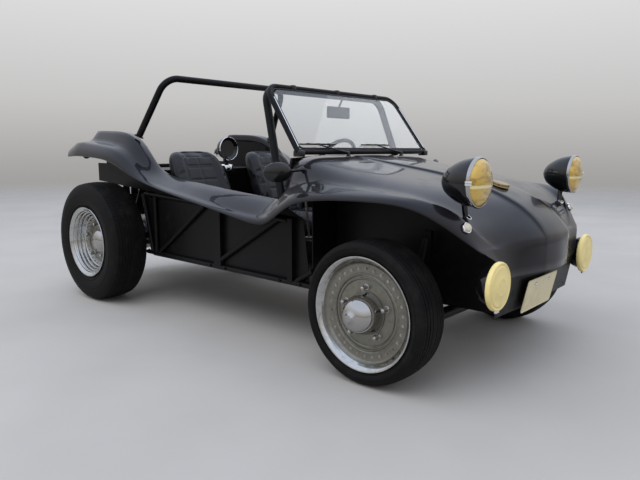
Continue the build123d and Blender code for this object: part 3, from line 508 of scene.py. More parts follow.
def joinRows(bm, last, points):
    verts, edges = chain(bm, points)
    along = [bm.edges.get(pair) for pair in zip(last, last[1:])]
    bmesh.ops.bridge_loops(bm, edges=along + edges)
    return verts


def creaseAlong(bm, layer, verts, amount):
    for pair in zip(verts, verts[1:]):
        edge = bm.edges.get(pair)
        if edge:
            edge[layer] = amount


def addBodySkin():
    bm = bmesh.new()
    layer = bm.edges.layers.float.new("crease_edge")
    nose = [list(zip(row[1::2], row[2::2])) for row in bodySkin["nose"]]
    rows = []
    for step in (3, 2, 1, 0):
        line = [at(x, row[0], z) for row, (x, z) in zip(bodySkin["nose"], [column[step] for column in nose])]
        rows.append(line + [at(*corner[step]) for corner in bodySkin["noseCorner"]])
    rows += [frontLine(row) for row in bodySkin["front"]]
    grid = [chain(bm, rows[0])[0]]
    for line in rows[1:]:
        grid.append(joinRows(bm, grid[-1], line))
    creases = bodySkin["creases"]
    for column in (1, 2):
        creaseAlong(bm, layer, [row[column] for row in grid], creases["band"])
    creaseAlong(bm, layer, grid[1], creases["crest"])
    creaseAlong(bm, layer, [row[7] for row in grid[1:10]], creases["ridge"])
    # The rail goes on from the fender's last row, with its own inner edge
    start = bodySkin["front"][-1][0]
    inner = [bm.verts.new(at(start, y, z)) for y, z in bodySkin["railStart"]]
    bm.edges.new(inner)
    bm.edges.new((inner[1], grid[-1][5]))
    side = [inner + grid[-1][5:]]
    for row in bodySkin["side"]:
        side.append(joinRows(bm, side[-1], sideLine(row)))
    for column in (1, 4):
        creaseAlong(bm, layer, [row[column] for row in side[:9]], creases["rail"])
    for column in (1, 2, 3, 4):
        creaseAlong(bm, layer, [row[column] for row in side[8:]], creases["shoulder"])
    for row in side[12:14]:
        creaseAlong(bm, layer, row[1:5], creases["step"])
    # Closed at the tail
    edges = [bm.edges.get(pair) for pair in zip(side[-1], side[-1][1:])]
    middle = at(*bodySkin["tail"])
    for share, ahead in bodySkin["tailSteps"]:
        made = bmesh.ops.extrude_edge_only(bm, edges=edges)["geom"]
        edges = [g for g in made if isinstance(g, bmesh.types.BMEdge)]
        for vert in (g for g in made if isinstance(g, bmesh.types.BMVert)):
            near = vert.co.lerp(middle, share)
            vert.co = Vector((middle.x + ahead, near.y, near.z))
    bmesh.ops.mirror(bm, geom=everything(bm), merge_dist=0.0002, axis="Y")
    skin = addPiece("bodySkin", bm, "car", "body_paint", 180,
                    ("body_front", "body_side_left", "body_side_right"))
    skin.data.materials.append(finishes["underside"])
    smoother(skin, bodySkin["levels"])
    thicker(skin, bodySkin["thickness"], inside=1)


# Flat black sheets under the moulding: outline as x z, inner face's y
sheetThick = 0.0022
sheets = {
    "railSheet": {"y": 500.6, "outline": [
        (-450, 592), (-560, 640), (-605, 668), (-670, 671), (-800, 679), (-1000, 694), (-1200, 713), (-1400, 731),
        (-1530, 752), (-1620, 790), (-1655, 815), (-1655, 600), (-1400, 610), (-1000, 585), (-660, 570)]},
    "noseSheet": {"y": 333.5, "outline": [
        (95, 300), (95, 406), (300, 416), (412, 434), (404, 300), (392, 286), (120, 286)]},
    "archSheet": {"y": 478.0, "outline": [
        (-1646, 655), (-1646, 760), (-1710, 820), (-2352, 820), (-2352, 705)]},
}


def addSheets():
    for name, sheet in sheets.items():
        bm = bmesh.new()
        for side in (-1, 1):
            edges = chain(bm, [onSide((x, sheet["y"], z), side) for x, z in sheet["outline"]], True)[1]
            face = bmesh.ops.edgeloop_fill(bm, edges=edges)["faces"]
            made = bmesh.ops.extrude_face_region(bm, geom=face)["geom"]
            moved = [g for g in made if isinstance(g, bmesh.types.BMVert)]
            bmesh.ops.translate(bm, verts=moved, vec=(0, side * sheetThick, 0))
        addPiece(name, bm, "car", "black_paint")


# Wheels. Lengths in metres; along is measured outward from the middle of the tyre or from the wheel disc
tyreKinds = {
    "front": {"r": 0.286, "w": 0.173, "rim": 0.225, "face": 0.692, "steps": 84, "x": 0},
    "rear": {"r": 0.357, "w": 0.225, "rim": 0.207, "face": 0.756, "steps": 96, "x": -2032},
}
tyreLook = {"tuck": 0.014, "rise": 0.0004, "groove": 0.0065, "slant": 0.0006, "gap": 0.0012, "notch": 0.0016,
            "bead": 0.0123, "bed": 0.0137, "inside": (0.006, 0.004),
            # inset from the widest place, share of the wall's height
            "wall": [(0.0165, 0.07), (0.008, 0.13), (0.0062, 0.15), (0.0062, 0.17), (0.0075, 0.19), (0.0035, 0.26),
                     (0.001, 0.37), (0.0, 0.50), (0.0012, 0.505), (0.0012, 0.52), (0.0002, 0.525), (0.0022, 0.64)]}
# Upper wall as inset and drop below the tread, ribs as share of the half width at both sides of each, and how
# many ribs from the edge are notched
treads = {
    "front": {"upper": [(0.0062, 0.0175), (0.0100, 0.0110), (0.0150, 0.0062)], "edge": 0.0215, "crown": 0.0042,
              "ribs": [(1.0, 0.80), (0.735, 0.54), (0.475, 0.27), (0.205, 0)], "notched": 2},
    "rear": {"upper": [(0.0085, 0.0300), (0.0150, 0.0180), (0.0245, 0.0095)], "edge": 0.0350, "crown": 0.0075,
             "ribs": [(1.0, 0.81), (0.785, 0.60), (0.575, 0.39), (0.365, 0.19), (0.165, 0)], "notched": 4},
}


# The rim runs from its face to its back edge, which is tucked in from the tyre's width
def rimBack(kind):
    k = tyreKinds[kind]
    return k["face"] - k["w"] + tyreLook["tuck"]


def addTyre(kind, end, side):
    k, tread, look = tyreKinds[kind], treads[kind], tyreLook
    half, high, back = k["w"] / 2, k["r"] - k["rim"], rimBack(kind)
    bead = (k["face"] - back) / 2 - look["bead"]
    edge, top = half - tread["edge"], k["r"] - look["rise"]
    line = [(bead, k["rim"] - look["bed"]), (bead + 0.0003, k["rim"] + 0.004)]
    line += [(half - a, k["rim"] + share * high) for a, share in look["wall"]]
    line += [(half - a, top - drop - 0.0003) for a, drop in tread["upper"]]
    for step, (outer, inner) in enumerate(tread["ribs"]):
        sunk = look["notch"] if step < tread["notched"] else 0
        rise = [top - sunk - tread["crown"] * t ** 2 for t in (outer, inner)]
        if outer < 1:
            line.append((edge * outer + look["slant"], rise[0] - look["groove"]))
        line += [(edge * outer, rise[0]), (edge * inner, rise[1])]
        if inner > 0:
            line.append((edge * inner - look["slant"], rise[1] - look["groove"]))
    line += [(-a, r) for a, r in line[-2::-1]]
    inward, below = look["inside"]
    line += [(-bead + inward, k["rim"] - below), (bead - inward, k["rim"] - below)]
    centre = at(k["x"], side * (k["face"] + back) * 500, k["r"] * 1000)
    bm = bmesh.new()
    turnedShape(bm, line, centre, (0, side, 0), k["steps"], True)
    bmesh.ops.recalc_face_normals(bm, faces=bm.faces)
    notched = tread["ribs"][:tread["notched"]]
    blocks = []
    for face in bm.faces:
        away = face.calc_center_median() - centre
        share, r = abs(away.y) / edge, math.hypot(away.x, away.z)
        if r > top - tread["crown"] - 0.003 and any(inner < share < outer for outer, inner in notched):
            blocks.append(face)
    bmesh.ops.inset_individual(bm, faces=blocks, thickness=look["gap"], depth=look["notch"], use_even_offset=True)
    addPiece(f"tyre_{kind}_{end}.tread", bm, f"wheel_{kind}_{end}", "tyre", 28, (f"tyre_{kind}_{end}",))


# Rim lines: along from the disc, radius. The lip and bed are shared
rimKinds = {
    "front": {"disc": 0.654, "cap": 0.0845, "brushed": (0.0845, 0.2035), "lines": [
        (0.112, 0), (0.1122, 0.010), (0.1112, 0.0145), (0.1085, 0.0165), (0.1060, 0.0150), (0.1035, 0.0165),
        (0.0985, 0.0215), (0.0955, 0.031), (0.0915, 0.041), (0.084, 0.052), (0.074, 0.0605), (0.060, 0.0685),
        (0.044, 0.075), (0.026, 0.080), (0.008, 0.083), (0.003, 0.0848), (0.0028, 0.0885), (-0.001, 0.0895),
        (-0.0022, 0.118), (-0.003, 0.131), (0.0006, 0.1335), (0.0014, 0.135), (0.0006, 0.1365), (-0.0022, 0.138),
        (-0.0024, 0.1445), (0.0014, 0.1468), (0.0022, 0.1485), (0.0014, 0.1502), (-0.0010, 0.152), (-0.0012, 0.157),
        (0.0004, 0.159), (0.0004, 0.190), (0.002, 0.1938), (0.005, 0.197), (0.014, 0.2035), (0.023, 0.2088)]},
    "rear": {"disc": 0.674, "cap": 0.0715, "brushed": (0.0715, 0.1320), "lines": [
        (0.030, 0), (0.0302, 0.009), (0.0285, 0.014), (0.027, 0.030), (0.022, 0.044), (0.014, 0.060), (0.004, 0.069),
        (-0.001, 0.072), (-0.002, 0.080), (-0.004, 0.110), (-0.006, 0.124), (-0.003, 0.128), (0.0, 0.132),
        (0.0, 0.157), (0.002, 0.160), (0.004, 0.1612), (0.017, 0.1625), (0.0195, 0.164), (0.0205, 0.1682),
        (0.0225, 0.170), (0.036, 0.1712), (0.0385, 0.1727), (0.0395, 0.177), (0.0415, 0.1788), (0.054, 0.180),
        (0.0565, 0.1815), (0.0575, 0.1850), (0.060, 0.187), (0.068, 0.1885)]},
}
# Lip and bed: along from the face or the back edge, inward; radius from the rim radius
rimLip = [(0.0075, -0.0110), (0.0032, -0.0062), (0.0010, -0.0030), (0.0, -0.0004), (0.0006, 0.0020),
          (0.0030, 0.0034), (0.0062, 0.0031), (0.0088, 0.0005), (0.0105, -0.006), (0.012, -0.014)]


def rimSection(kind):
    k, disc = tyreKinds[kind], rimKinds[kind]["disc"]
    face, back = k["face"] - disc, rimBack(kind) - disc
    line = rimKinds[kind]["lines"] + [(face - a, k["rim"] + r) for a, r in rimLip]
    line += [(back + a, k["rim"] + r) for a, r in rimLip[::-1]]
    return line + [(back + 0.002, k["rim"] - 0.019), (-0.022, k["rim"] - 0.026), (-0.0295, 0.62 * k["rim"]),
                   (-0.0295, 0)]


# Fasteners on the wheel disc. A nut's hexagon is foot, top and taper, and a line is along from the disc and
# share of its radius; a bolt's hexagon is top and taper, and its washer top and share
nutLook = {"count": 5, "circle": 0.1025, "r": 0.0102, "hex": (-0.004, 0.0262, 0.97),
           "washer": [(-0.0045, 1.32), (0.0005, 1.32), (0.0014, 1.2), (0.0014, 0)],
           "dome": [(0.0255, 0.84), (0.0285, 0.72), (0.0308, 0.45), (0.032, 0)]}
boltLook = {"count": 30, "circle": {"front": 0.1745, "rear": 0.1445}, "r": 0.0042, "foot": -0.002,
            "hex": (0.0045, 0.94), "washer": (0.0012, 1.5)}


def addRim(kind, end, side):
    k, rim, disc = tyreKinds[kind], rimKinds[kind], rimKinds[kind]["disc"]
    centre = at(k["x"], side * disc * 1000, k["r"] * 1000)
    axis = Vector((0, side, 0))
    body = f"wheel_{kind}_{end}"
    bm = bmesh.new()
    turnedShape(bm, rimSection(kind), centre, axis, 96)
    barrel = addPiece(f"rim_{kind}_{end}.barrel", bm, body, "polished_alloy", 30,
                      (f"rim_{kind}_{end}",))
    # the rim face's brushed band and its centre cap take colours darkened as painted shade
    for finish in ("brushed_alloy", "chrome_painted_shade"):
        barrel.data.materials.append(finishes[finish])
    low, high = rim["brushed"]
    for face in barrel.data.polygons:
        away = face.center - centre
        r = math.hypot(away.x, away.z)
        if away.dot(axis) >= -0.012:
            face.material_index = 2 if r < rim["cap"] else 1 if low < r < high else 0
    nuts, bolts = bmesh.new(), bmesh.new()
    up, r = centre + Vector((0, 0, nutLook["circle"])), nutLook["r"]
    foot, top, taper = nutLook["hex"]
    bar(nuts, up + axis * foot, up + axis * top, r, r * taper, 6)
    for part, steps in (("washer", 20), ("dome", 18)):
        turnedShape(nuts, [(a, r * share) for a, share in nutLook[part]], up, axis, steps)
    ringOf(nuts, centre, axis, nutLook["count"])
    # wheel nuts in the chrome darkened as painted shade
    addPiece(f"wheelNuts_{kind}_{end}", nuts, body, "chrome_painted_shade", 30)
    up, r = centre + Vector((0, 0, boltLook["circle"][kind])), boltLook["r"]
    foot = up + axis * boltLook["foot"]
    bar(bolts, foot, up + axis * boltLook["hex"][0], r, r * boltLook["hex"][1], 6)
    bar(bolts, foot, up + axis * boltLook["washer"][0], r * boltLook["washer"][1])
    ringOf(bolts, centre, axis, boltLook["count"])
    addPiece(f"rimBolts_{kind}_{end}", bolts, body, "steel", 30)


def addWheels():
    for kind in tyreKinds:
        for end, side in (("right", -1), ("left", 1)):
            addTyre(kind, end, side)
            addRim(kind, end, side)


# Lamps. Profiles are metres ahead of the place and out from the axis
headlamp = {
    "place": (372, 490, 798),
    "bucket": [(-0.0098, 0), (-0.0098, 0.078), (-0.0105, 0.0870), (-0.0130, 0.0880), (-0.030, 0.0872), (-0.055, 0.083),
               (-0.080, 0.0742), (-0.105, 0.0605), (-0.125, 0.0460), (-0.139, 0.028), (-0.1465, 0.011), (-0.148, 0)],
    "rim": [(-0.0096, 0.0848), (-0.0096, 0.0892), (-0.0080, 0.0918), (-0.0030, 0.0920), (0.0020, 0.0906),
            (0.0044, 0.0884), (0.0048, 0.0870), (0.0040, 0.0858), (0.0010, 0.0850)],
    "lens": [(-0.0085, 0), (-0.0085, 0.0842), (0.0030, 0.0846), (0.0088, 0.0810), (0.0160, 0.0675), (0.0215, 0.046),
             (0.0250, 0.023), (0.0262, 0)],
    "foot": (310, 471.6, 655.3), "out": (0.629, 0.034, 0.777),
    "stemFoot": [(0.0008, 0), (0.0008, 0.017), (0.003, 0.0185), (0.0055, 0.017), (0.0065, 0.0115), (0.016, 0.0105),
                 (0.018, 0.0)],
    "stemFrom": 0.006, "stemTop": (-0.062, 0, -0.052), "stem": 0.0105,
    "nut": [(0.013, 0.0125), (0.013, 0.0155), (0.021, 0.0155), (0.021, 0.0125)],
    "cup": [(-0.006, 0), (-0.006, 0.017), (0.004, 0.017), (0.010, 0.009), (0.010, 0)],
    "cupPlace": (-0.052, 0, -0.076), "cupWay": (0.2, 0, -1),
    "clip": {-1: ((-0.012, -0.092, -0.008), (0.014, -0.088, 0.008)),
             1: ((-0.012, 0.080, -0.008), (0.014, 0.096, 0.008))}, "clipEdge": 0.002,
}
drivingLamp = {
    "place": (440, 468, 430),
    "body": [(0, 0), (0, 0.0735), (-0.004, 0.074), (-0.020, 0.072), (-0.038, 0.065), (-0.054, 0.052), (-0.064, 0.034),
             (-0.068, 0.014), (-0.068, 0)],
    "cover": [(0.0004, 0), (0.0004, 0.0885), (0.003, 0.0900), (0.0118, 0.0900), (0.0162, 0.0880), (0.0185, 0.0845),
              (0.0168, 0.0810), (0.0150, 0.0775), (0.0165, 0.0745), (0.0192, 0.0722), (0.0200, 0.0690),
              (0.0194, 0.0655), (0.0215, 0.050), (0.0232, 0.0345), (0.0246, 0.0310), (0.0234, 0.0275),
              (0.0246, 0.0140), (0.0250, 0)],
    "strap": ((0.002, -0.013, -0.0985), (0.0125, 0.013, -0.086)), "strapEdge": 0.0025,
    "armStart": (-0.05, -0.04, 0.026), "armEnd": (390, 335.5, 456), "arm": 0.0092,
}
signal = {  # on the flank of the fender
    "place": (342, 524.6, 634.9), "out": (0.859, 0.204, 0.470),
    "ring": [(0.0008, 0), (0.0008, 0.0195), (0.003, 0.021), (0.0085, 0.0205), (0.0105, 0.0182), (0.0105, 0.0165)],
    "lens": [(0.002, 0.0163), (0.0120, 0.0163), (0.0165, 0.0140), (0.0192, 0.0085), (0.0200, 0)],
}
tailLamp = {
    "place": (-2375, 546, 876),
    "ring": [(0.0004, 0), (0.0004, 0.029), (0.004, 0.0305), (0.0095, 0.0295), (0.012, 0.0265), (0.012, 0.0245)],
    "lens": [(0.003, 0.0243), (0.014, 0.0243), (0.0168, 0.0225), (0.0172, 0.0165), (0.0205, 0.0150),
             (0.0245, 0.0095), (0.0258, 0)],
}
lampPieces = [
    ("headlampBuckets", "gloss_black", "black_paint", 32, "headlamp_buckets"),
    ("headlampRims", "chrome_painted_shade", "chrome_trim", 32, "headlamp_rims"),
    ("headlampLenses", "amber_glass", "amber_glass", 32, "headlamp_lenses"),
    ("headlampStems", "gloss_black", "black_paint", 32),
    ("lampClips", "chrome_trim", "chrome_trim", 32),
    ("drivingLampBodies", "gloss_black", "black_paint", 32, "driving_lamps"),
    ("drivingLampCovers", "pale_plastic", "pale_plastic", 32, "driving_lamp_covers"),
    ("signalRings", "chrome_trim", "chrome_trim", 32),
    ("signalLenses", "pale_lens", "pale_lens", 32, "turn_signals"),
    ("tailLampRings", "chrome_trim", "chrome_trim", 32),
    ("tailLampLenses", "red_lens", "red_lens", 32, "tail_lamps"),
]


def addLamps():
    ahead, meshes = Vector((1, 0, 0)), newMeshes(lampPieces)
    bucket, rim, lens, stem, clips, body, cover, ring, glass, tailRing, tailLens = meshes
    for side in (-1, 1):
        k = headlamp
        place, foot, out = onSide(k["place"], side), onSide(k["foot"], side), towards(k["out"], side)
        turnedShape(bucket, k["bucket"], place, ahead, 64)
        turnedShape(lens, k["lens"], place, ahead, 64)
        turnedShape(rim, k["rim"], place, ahead, 72, True)
        turnedShape(stem, k["stemFoot"], foot, out, 28)
        bar(stem, foot + out * k["stemFrom"], place + Vector(k["stemTop"]), k["stem"], sides=20)
        turnedShape(clips, k["nut"], foot, out, 6)
        turnedShape(clips, k["cup"], place + Vector(k["cupPlace"]), k["cupWay"], 24)
        blockAt(clips, place, *k["clip"][side], k["clipEdge"])
        k = drivingLamp
        place = onSide(k["place"], side)
        turnedShape(body, k["body"], place, ahead, 56)
        turnedShape(cover, k["cover"], place, ahead, 72)
        blockAt(clips, place, *k["strap"], k["strapEdge"])
        bar(body, place + towards(k["armStart"], side), onSide(k["armEnd"], side), k["arm"], sides=18)
        place, out = onSide(signal["place"], side), towards(signal["out"], side)
        turnedShape(ring, signal["ring"], place, out, 36)
        turnedShape(glass, signal["lens"], place, out, 32)
        place = onSide(tailLamp["place"], side)
        turnedShape(tailRing, tailLamp["ring"], place, -ahead, 44)
        turnedShape(tailLens, tailLamp["lens"], place, -ahead, 44)
    addPieces(lampPieces, meshes)


# Blank plate with a raised rim, held by two bolts. Its top edge is at the place, its face looks out and down
plateLook = {
    "place": (447.69, -35, 402), "down": (-0.2047, 0, -0.9788), "size": (0.305, 0.140, 0.003), "lift": 0.0015,
    "corner": 0.012, "border": 0.003, "step": 0.002, "sunk": 0.0012,
    "boltY": 0.070, "boltDown": 0.024, "bolt": (-0.012, 0.003, 0.0045),
    "boltHead": [(0.0025, 0.0072), (0.005, 0.0066), (0.0066, 0.004), (0.007, 0)],
}
platePieces = [("plateBlank", "plate_paint", "plate_paint", 25, "licence_plate"),
               ("plateBolts", "chrome_trim", "chrome_trim", 32)]


def addPlate():
    k, start = plateLook, at(*plateLook["place"])
    across, down = Vector((0, 1, 0)), Vector(plateLook["down"])
    out = down.cross(across)
    blank, bolts = meshes = newMeshes(platePieces)
    middle = start + down * k["size"][1] / 2 + out * k["lift"]
    verts = cube(blank, Matrix.Translation(middle) @ facing(across, down, -out), k["size"])
    corners = [e for e in edgesOf(verts) if abs((e.verts[0].co - e.verts[1].co).dot(out)) > 0.002]
    bevelled(blank, corners, k["corner"], 4)
    face = max(blank.faces, key=lambda f: f.calc_center_median().dot(out))
    for thickness, depth in ((k["border"], 0), (k["step"], -k["sunk"])):
        bmesh.ops.inset_region(blank, faces=[face], thickness=thickness, depth=depth, use_even_offset=True)
    inner, outer, r = k["bolt"]
    for y in (-k["boltY"], k["boltY"]):
        spot = start + across * y + down * k["boltDown"]
        bar(bolts, spot + out * inner, spot + out * outer, r)
        turnedShape(bolts, k["boltHead"], spot, out, 20)
    addPieces(platePieces, meshes)


# Mirrors: door mirrors are half a stretched ball, cut flat for the glass
doorMirror = {
    "middle": (-484, 652, 815), "turn": 20, "r": 0.042, "stretch": (0.55, 1.58, 1.04), "cut": 0.007,
    "border": 0.003, "step": 0.001, "sunk": 0.002, "glass": 0.0408, "glassX": -0.0062,
    "foot": (-448, 530.2, 823.2), "out": (-0.028, 0.9865, 0.161),
    "footLine": [(0.0006, 0), (0.0006, 0.0125), (0.004, 0.013), (0.010, 0.0105), (0.012, 0.0)],
    "armFrom": 0.008, "armEnd": (-474, 626, 816), "arm": 0.0072,
}
insideMirror = {
    "shell": ((-758, -25, 1076), (-742, 160, 1138)), "shellEdge": 0.0075,
    "arm": ((-713.4, 66, 1191.9), (-748, 66, 1130)), "armR": 0.0055,
    "foot": ((-727, 52, 1176), (-706, 80, 1196)), "footEdge": 0.003,
}
mirrorPieces = [("doorMirrorShells", "gloss_black", "black_plastic", 40, "mirrors"),
                ("doorMirrorGlass", "mirror_glass", "black_plastic", 35),
                ("doorMirrorStalks", "gloss_black", "black_plastic", 35),
                ("insideMirror", "black_plastic", "black_plastic", 40, "screen_mirror")]


def addMirrors():
    shells, glasses, stalks, inside = meshes = newMeshes(mirrorPieces)
    k = doorMirror
    for side in (-1, 1):
        middle = onSide(k["middle"], side)
        turn = Matrix.Translation(middle) @ Matrix.Rotation(radians(side * k["turn"]), 4, "Z")
        size = Matrix.Diagonal((*k["stretch"], 1))
        verts = bmesh.ops.create_uvsphere(shells, u_segments=40, v_segments=24, radius=k["r"],
                                          matrix=turn @ size)["verts"]
        geom = verts + edgesOf(verts) + list({f for v in verts for f in v.link_faces})
        back = turn.to_3x3() @ Vector((-1, 0, 0))
        cut = bmesh.ops.bisect_plane(shells, geom=geom, plane_co=middle + back * k["cut"], plane_no=back,
                                     clear_outer=True)
        rim = [g for g in cut["geom_cut"] if isinstance(g, bmesh.types.BMEdge)]
        filled = bmesh.ops.edgeloop_fill(shells, edges=rim)["faces"]
        for thickness, depth in ((k["border"], 0), (k["step"], -k["sunk"])):
            bmesh.ops.inset_region(shells, faces=filled, thickness=thickness, depth=depth)
        flat = Matrix.Translation((k["glassX"], 0, 0)) @ size @ Matrix.Rotation(pi / 2, 4, "Y")
        bmesh.ops.create_circle(glasses, cap_ends=True, segments=48, radius=k["glass"], matrix=turn @ flat)
        foot, out = onSide(k["foot"], side), towards(k["out"], side)
        turnedShape(stalks, k["footLine"], foot, out, 28)
        bar(stalks, foot + out * k["armFrom"], onSide(k["armEnd"], side), k["arm"], sides=18)
    k = insideMirror
    block(inside, at(*k["shell"][0]), at(*k["shell"][1]), k["shellEdge"])
    bar(inside, at(*k["arm"][0]), at(*k["arm"][1]), k["armR"], sides=18)
    block(inside, at(*k["foot"][0]), at(*k["foot"][1]), k["footEdge"])
    addPieces(mirrorPieces, meshes)


# Filler cap and the bowl behind the seats
fillerCap = {
    "foot": (222, 0, 759.5), "axis": (0.298, 0, 0.9545), "ribs": 36, "rib": (0.0062, 0.012), "ribOut": 0.0385,
    "ribR": 0.0013,
    "line": [(0.0004, 0), (0.0004, 0.0405), (0.0025, 0.0415), (0.004, 0.0395), (0.005, 0.0385), (0.0125, 0.0385),
             (0.0150, 0.0370), (0.016, 0.034), (0.0152, 0.031), (0.0147, 0.010), (0.0155, 0)],
}
bowlLook = {
    "middle": (-1592, 0, 915),
    "bowl": [(-0.060, 0), (-0.060, 0.030), (-0.056, 0.048), (-0.044, 0.061), (-0.026, 0.068), (0.0, 0.0705),
             (0.002, 0.068), (-0.006, 0.060), (-0.012, 0.052), (-0.0135, 0)],
    "trim": [(-0.003, 0.0700), (-0.003, 0.0722), (0.002, 0.0728), (0.0035, 0.0712), (0.002, 0.0698)],
    "collar": [(0.0, 0.030), (0.0, 0.046), (0.004, 0.0475), (0.030, 0.0475), (0.036, 0.045), (0.040, 0.036),
               (0.042, 0.030)],
    "collarPlace": (-0.03, 0, -0.140), "post": 0.0142,
    "postTop": (-0.03, 0, -0.062), "postKnee": (-0.03, 0, -0.186), "kneeLap": 0.001, "postEnd": (-1639.5, 0, 730),
    "foot": [(0.0, 0.014), (0.0, 0.034), (0.004, 0.034), (0.006, 0.031), (0.006, 0.014)],
    "footPlace": (-1639.6, 0, 730),
}
capPieces = [("fillerCap", "brass_cap", "chrome_trim", 32, "fuel_cap"),
             ("fillerCapRibs", "brass_cap", "chrome_trim", 32),
             ("roundBowl", "gloss_black", "black_plastic", 32, "round_pod"),
             ("roundBowlTrim", "chrome_trim", "chrome_trim", 32),
             ("roundBowlPost", "black_plastic", "black_plastic", 32)]


def addCapAndBowl():
    cap, ribs, bowl, trim, post = meshes = newMeshes(capPieces)
    k, foot, axis = fillerCap, at(*fillerCap["foot"]), Vector(fillerCap["axis"])
    turnedShape(cap, k["line"], foot, axis, 60)
    side = axis.cross(Vector((0, 1, 0))).normalized() * k["ribOut"]
    low, high = (foot + axis * a + side for a in k["rib"])
    bar(ribs, low, high, k["ribR"], sides=6)
    ringOf(ribs, foot, axis, k["ribs"])
    k, ahead, middle = bowlLook, Vector((1, 0, 0)), at(*bowlLook["middle"])
    turnedShape(bowl, k["bowl"], middle, ahead, 56)
    turnedShape(trim, k["trim"], middle, ahead, 64, True)
    turnedShape(trim, k["collar"], middle + Vector(k["collarPlace"]), (0, 0, 1), 44, True)
    knee = middle + Vector(k["postKnee"])
    bar(post, middle + Vector(k["postTop"]), knee, k["post"], sides=24)
    bar(post, knee + Vector((0, 0, k["kneeLap"])), at(*k["postEnd"]), k["post"], sides=24)
    turnedShape(post, k["foot"], at(*k["footPlace"]), ahead, 32, True)
    addPieces(capPieces, meshes)


# Seats. Millimetres in the seat's own frame: ahead of the foot of the back, left of its middle, up from the rails
seatLook = {
    "place": (-1440, 280, 400), "rake": 23, "slide": {"right": -8, "left": 22}, "cushionPlace": (0.040, 0, 0.004),
    "voxel": 0.0065, "pressure": 4.0, "stiffness": 24, "bending": 3.0, "frames": 20, "reach": 0.012,
    # height, half width, depth of the back, half width of its middle, depth of the middle below the bolsters
    "back": [(18, 178, 110, 112, 8), (110, 186, 122, 112, 24), (240, 190, 124, 112, 34), (340, 189, 120, 108, 34),
             (430, 182, 108, 102, 28), (500, 162, 86, 88, 14), (528, 130, 58, 66, 5)],
    # along the cushion, half width, height, half width of its middle, depth of the middle below the bolsters
    "cushion": [(16, 176, 118, 112, 6), (90, 182, 132, 112, 30), (250, 184, 138, 114, 36), (390, 182, 136, 114, 26),
                (455, 172, 118, 108, 10)],
    "channel": 0.0048, "channelWide": 0.0052, "piping": 0.0038,
    "backRows": (166, 244, 322, 400, 411), "cushionRows": (110, 182, 254, 326, 398),
    # sewn middle: half width, from, to
    "panel": {"back": (96, 108, 472), "cushion": (98, 62, 440)},
}


# Cage of a pad: closed rings of points from one end to the other, then both ends closed
def padCage(rows):
    bm = bmesh.new()
    loops = []
    for along, half, deep, inner, hollow in rows:
        line = [(-half, 4), (-half - 3, 0.5 * deep), (-half + 8, 0.93 * deep), (-inner - 26, deep),
                (-inner, deep - hollow), (0, deep - hollow + 4)]
        line += [(-y, z) for y, z in line[-2::-1]] + [(0, 0)]
        loops.append(chain(bm, [Vector((along / 1000, y / 1000, z / 1000)) for y, z in line], True)[1])
        if len(loops) > 1:
            bmesh.ops.bridge_loops(bm, edges=loops[-2] + loops[-1])
    for edges in (loops[0], loops[-1]):
        made = bmesh.ops.edgeloop_fill(bm, edges=edges)["faces"]
        bmesh.ops.inset_region(bm, faces=made, thickness=0.014, depth=0)
    bmesh.ops.recalc_face_normals(bm, faces=bm.faces)
    return bm


def finishedMesh(obj):
    mesh = bpy.data.meshes.new_from_object(obj.evaluated_get(bpy.context.evaluated_depsgraph_get()))
    obj.modifiers.clear()
    obj.data = mesh
    return mesh


# Lets the pad swell as cloth, with no point going further than the reach
def swollen(name, cage):
    mesh = bpy.data.meshes.new(name)
    cage.to_mesh(mesh)
    cage.free()
    pad = bpy.data.objects.new(name, mesh)
    bpy.context.collection.objects.link(pad)
    smoother(pad, 2)
    remesh = pad.modifiers.new("even", "REMESH")
    remesh.mode = "VOXEL"
    remesh.voxel_size = seatLook["voxel"]
    start = finishedMesh(pad)
    cloth = pad.modifiers.new("cloth", "CLOTH").settings
    cloth.quality = 4
    cloth.use_pressure = True
    cloth.uniform_pressure_force = seatLook["pressure"]
    cloth.effector_weights.gravity = 0.0
    cloth.tension_stiffness = cloth.compression_stiffness = seatLook["stiffness"]
    cloth.bending_stiffness = seatLook["bending"]
    for step in range(1, seatLook["frames"] + 1):
        bpy.context.scene.frame_set(step)
    full = finishedMesh(pad)
    bpy.context.scene.frame_set(1)
    for old, new in zip(start.vertices, full.vertices):
        away = new.co - old.co
        new.co = old.co + away.normalized() * min(away.length, seatLook["reach"])
    bm = bmesh.new()
    bm.from_mesh(pad.data)
    bpy.data.objects.remove(pad)
    return bm


# Sews channels into the middle of a pad: the border, the middle line and the cross lines
def sewn(bm, panel, rows):
    half, low, high = (v / 1000 for v in panel)
    wide, deep = seatLook["channelWide"], seatLook["channel"]
    bmesh.ops.smooth_vert(bm, verts=bm.verts, factor=0.5, use_axis_x=True, use_axis_y=True, use_axis_z=True)
    bm.normal_update()
    for vert in bm.verts:
        along, y, _ = vert.co
        inside = min(half - abs(y), along - low, high - along) + 0.5 * wide
        if vert.normal.z < 0.35 or inside < -wide:
            continue
        near = min(abs(half - abs(y)), abs(along - low), abs(high - along))
        if inside > 0:
            near = min([near, abs(y)] + [abs(along - row / 1000) for row in rows])
        vert.co -= vert.normal * deep * math.exp(-(near / wide) ** 2)


def padPlace(name, end, side):
    x, y, z = seatLook["place"]
    move = Matrix.Translation(at(x + seatLook["slide"][end], side * y, z))
    if name == "cushion":
        return move @ Matrix.Translation(seatLook["cushionPlace"])
    # The back stands up: its length runs up and its face looks ahead
    stand = Matrix(((0, 0, 1), (0, 1, 0), (1, 0, 0))).to_4x4()
    return move @ Matrix.Rotation(radians(-seatLook["rake"]), 4, "Y") @ stand


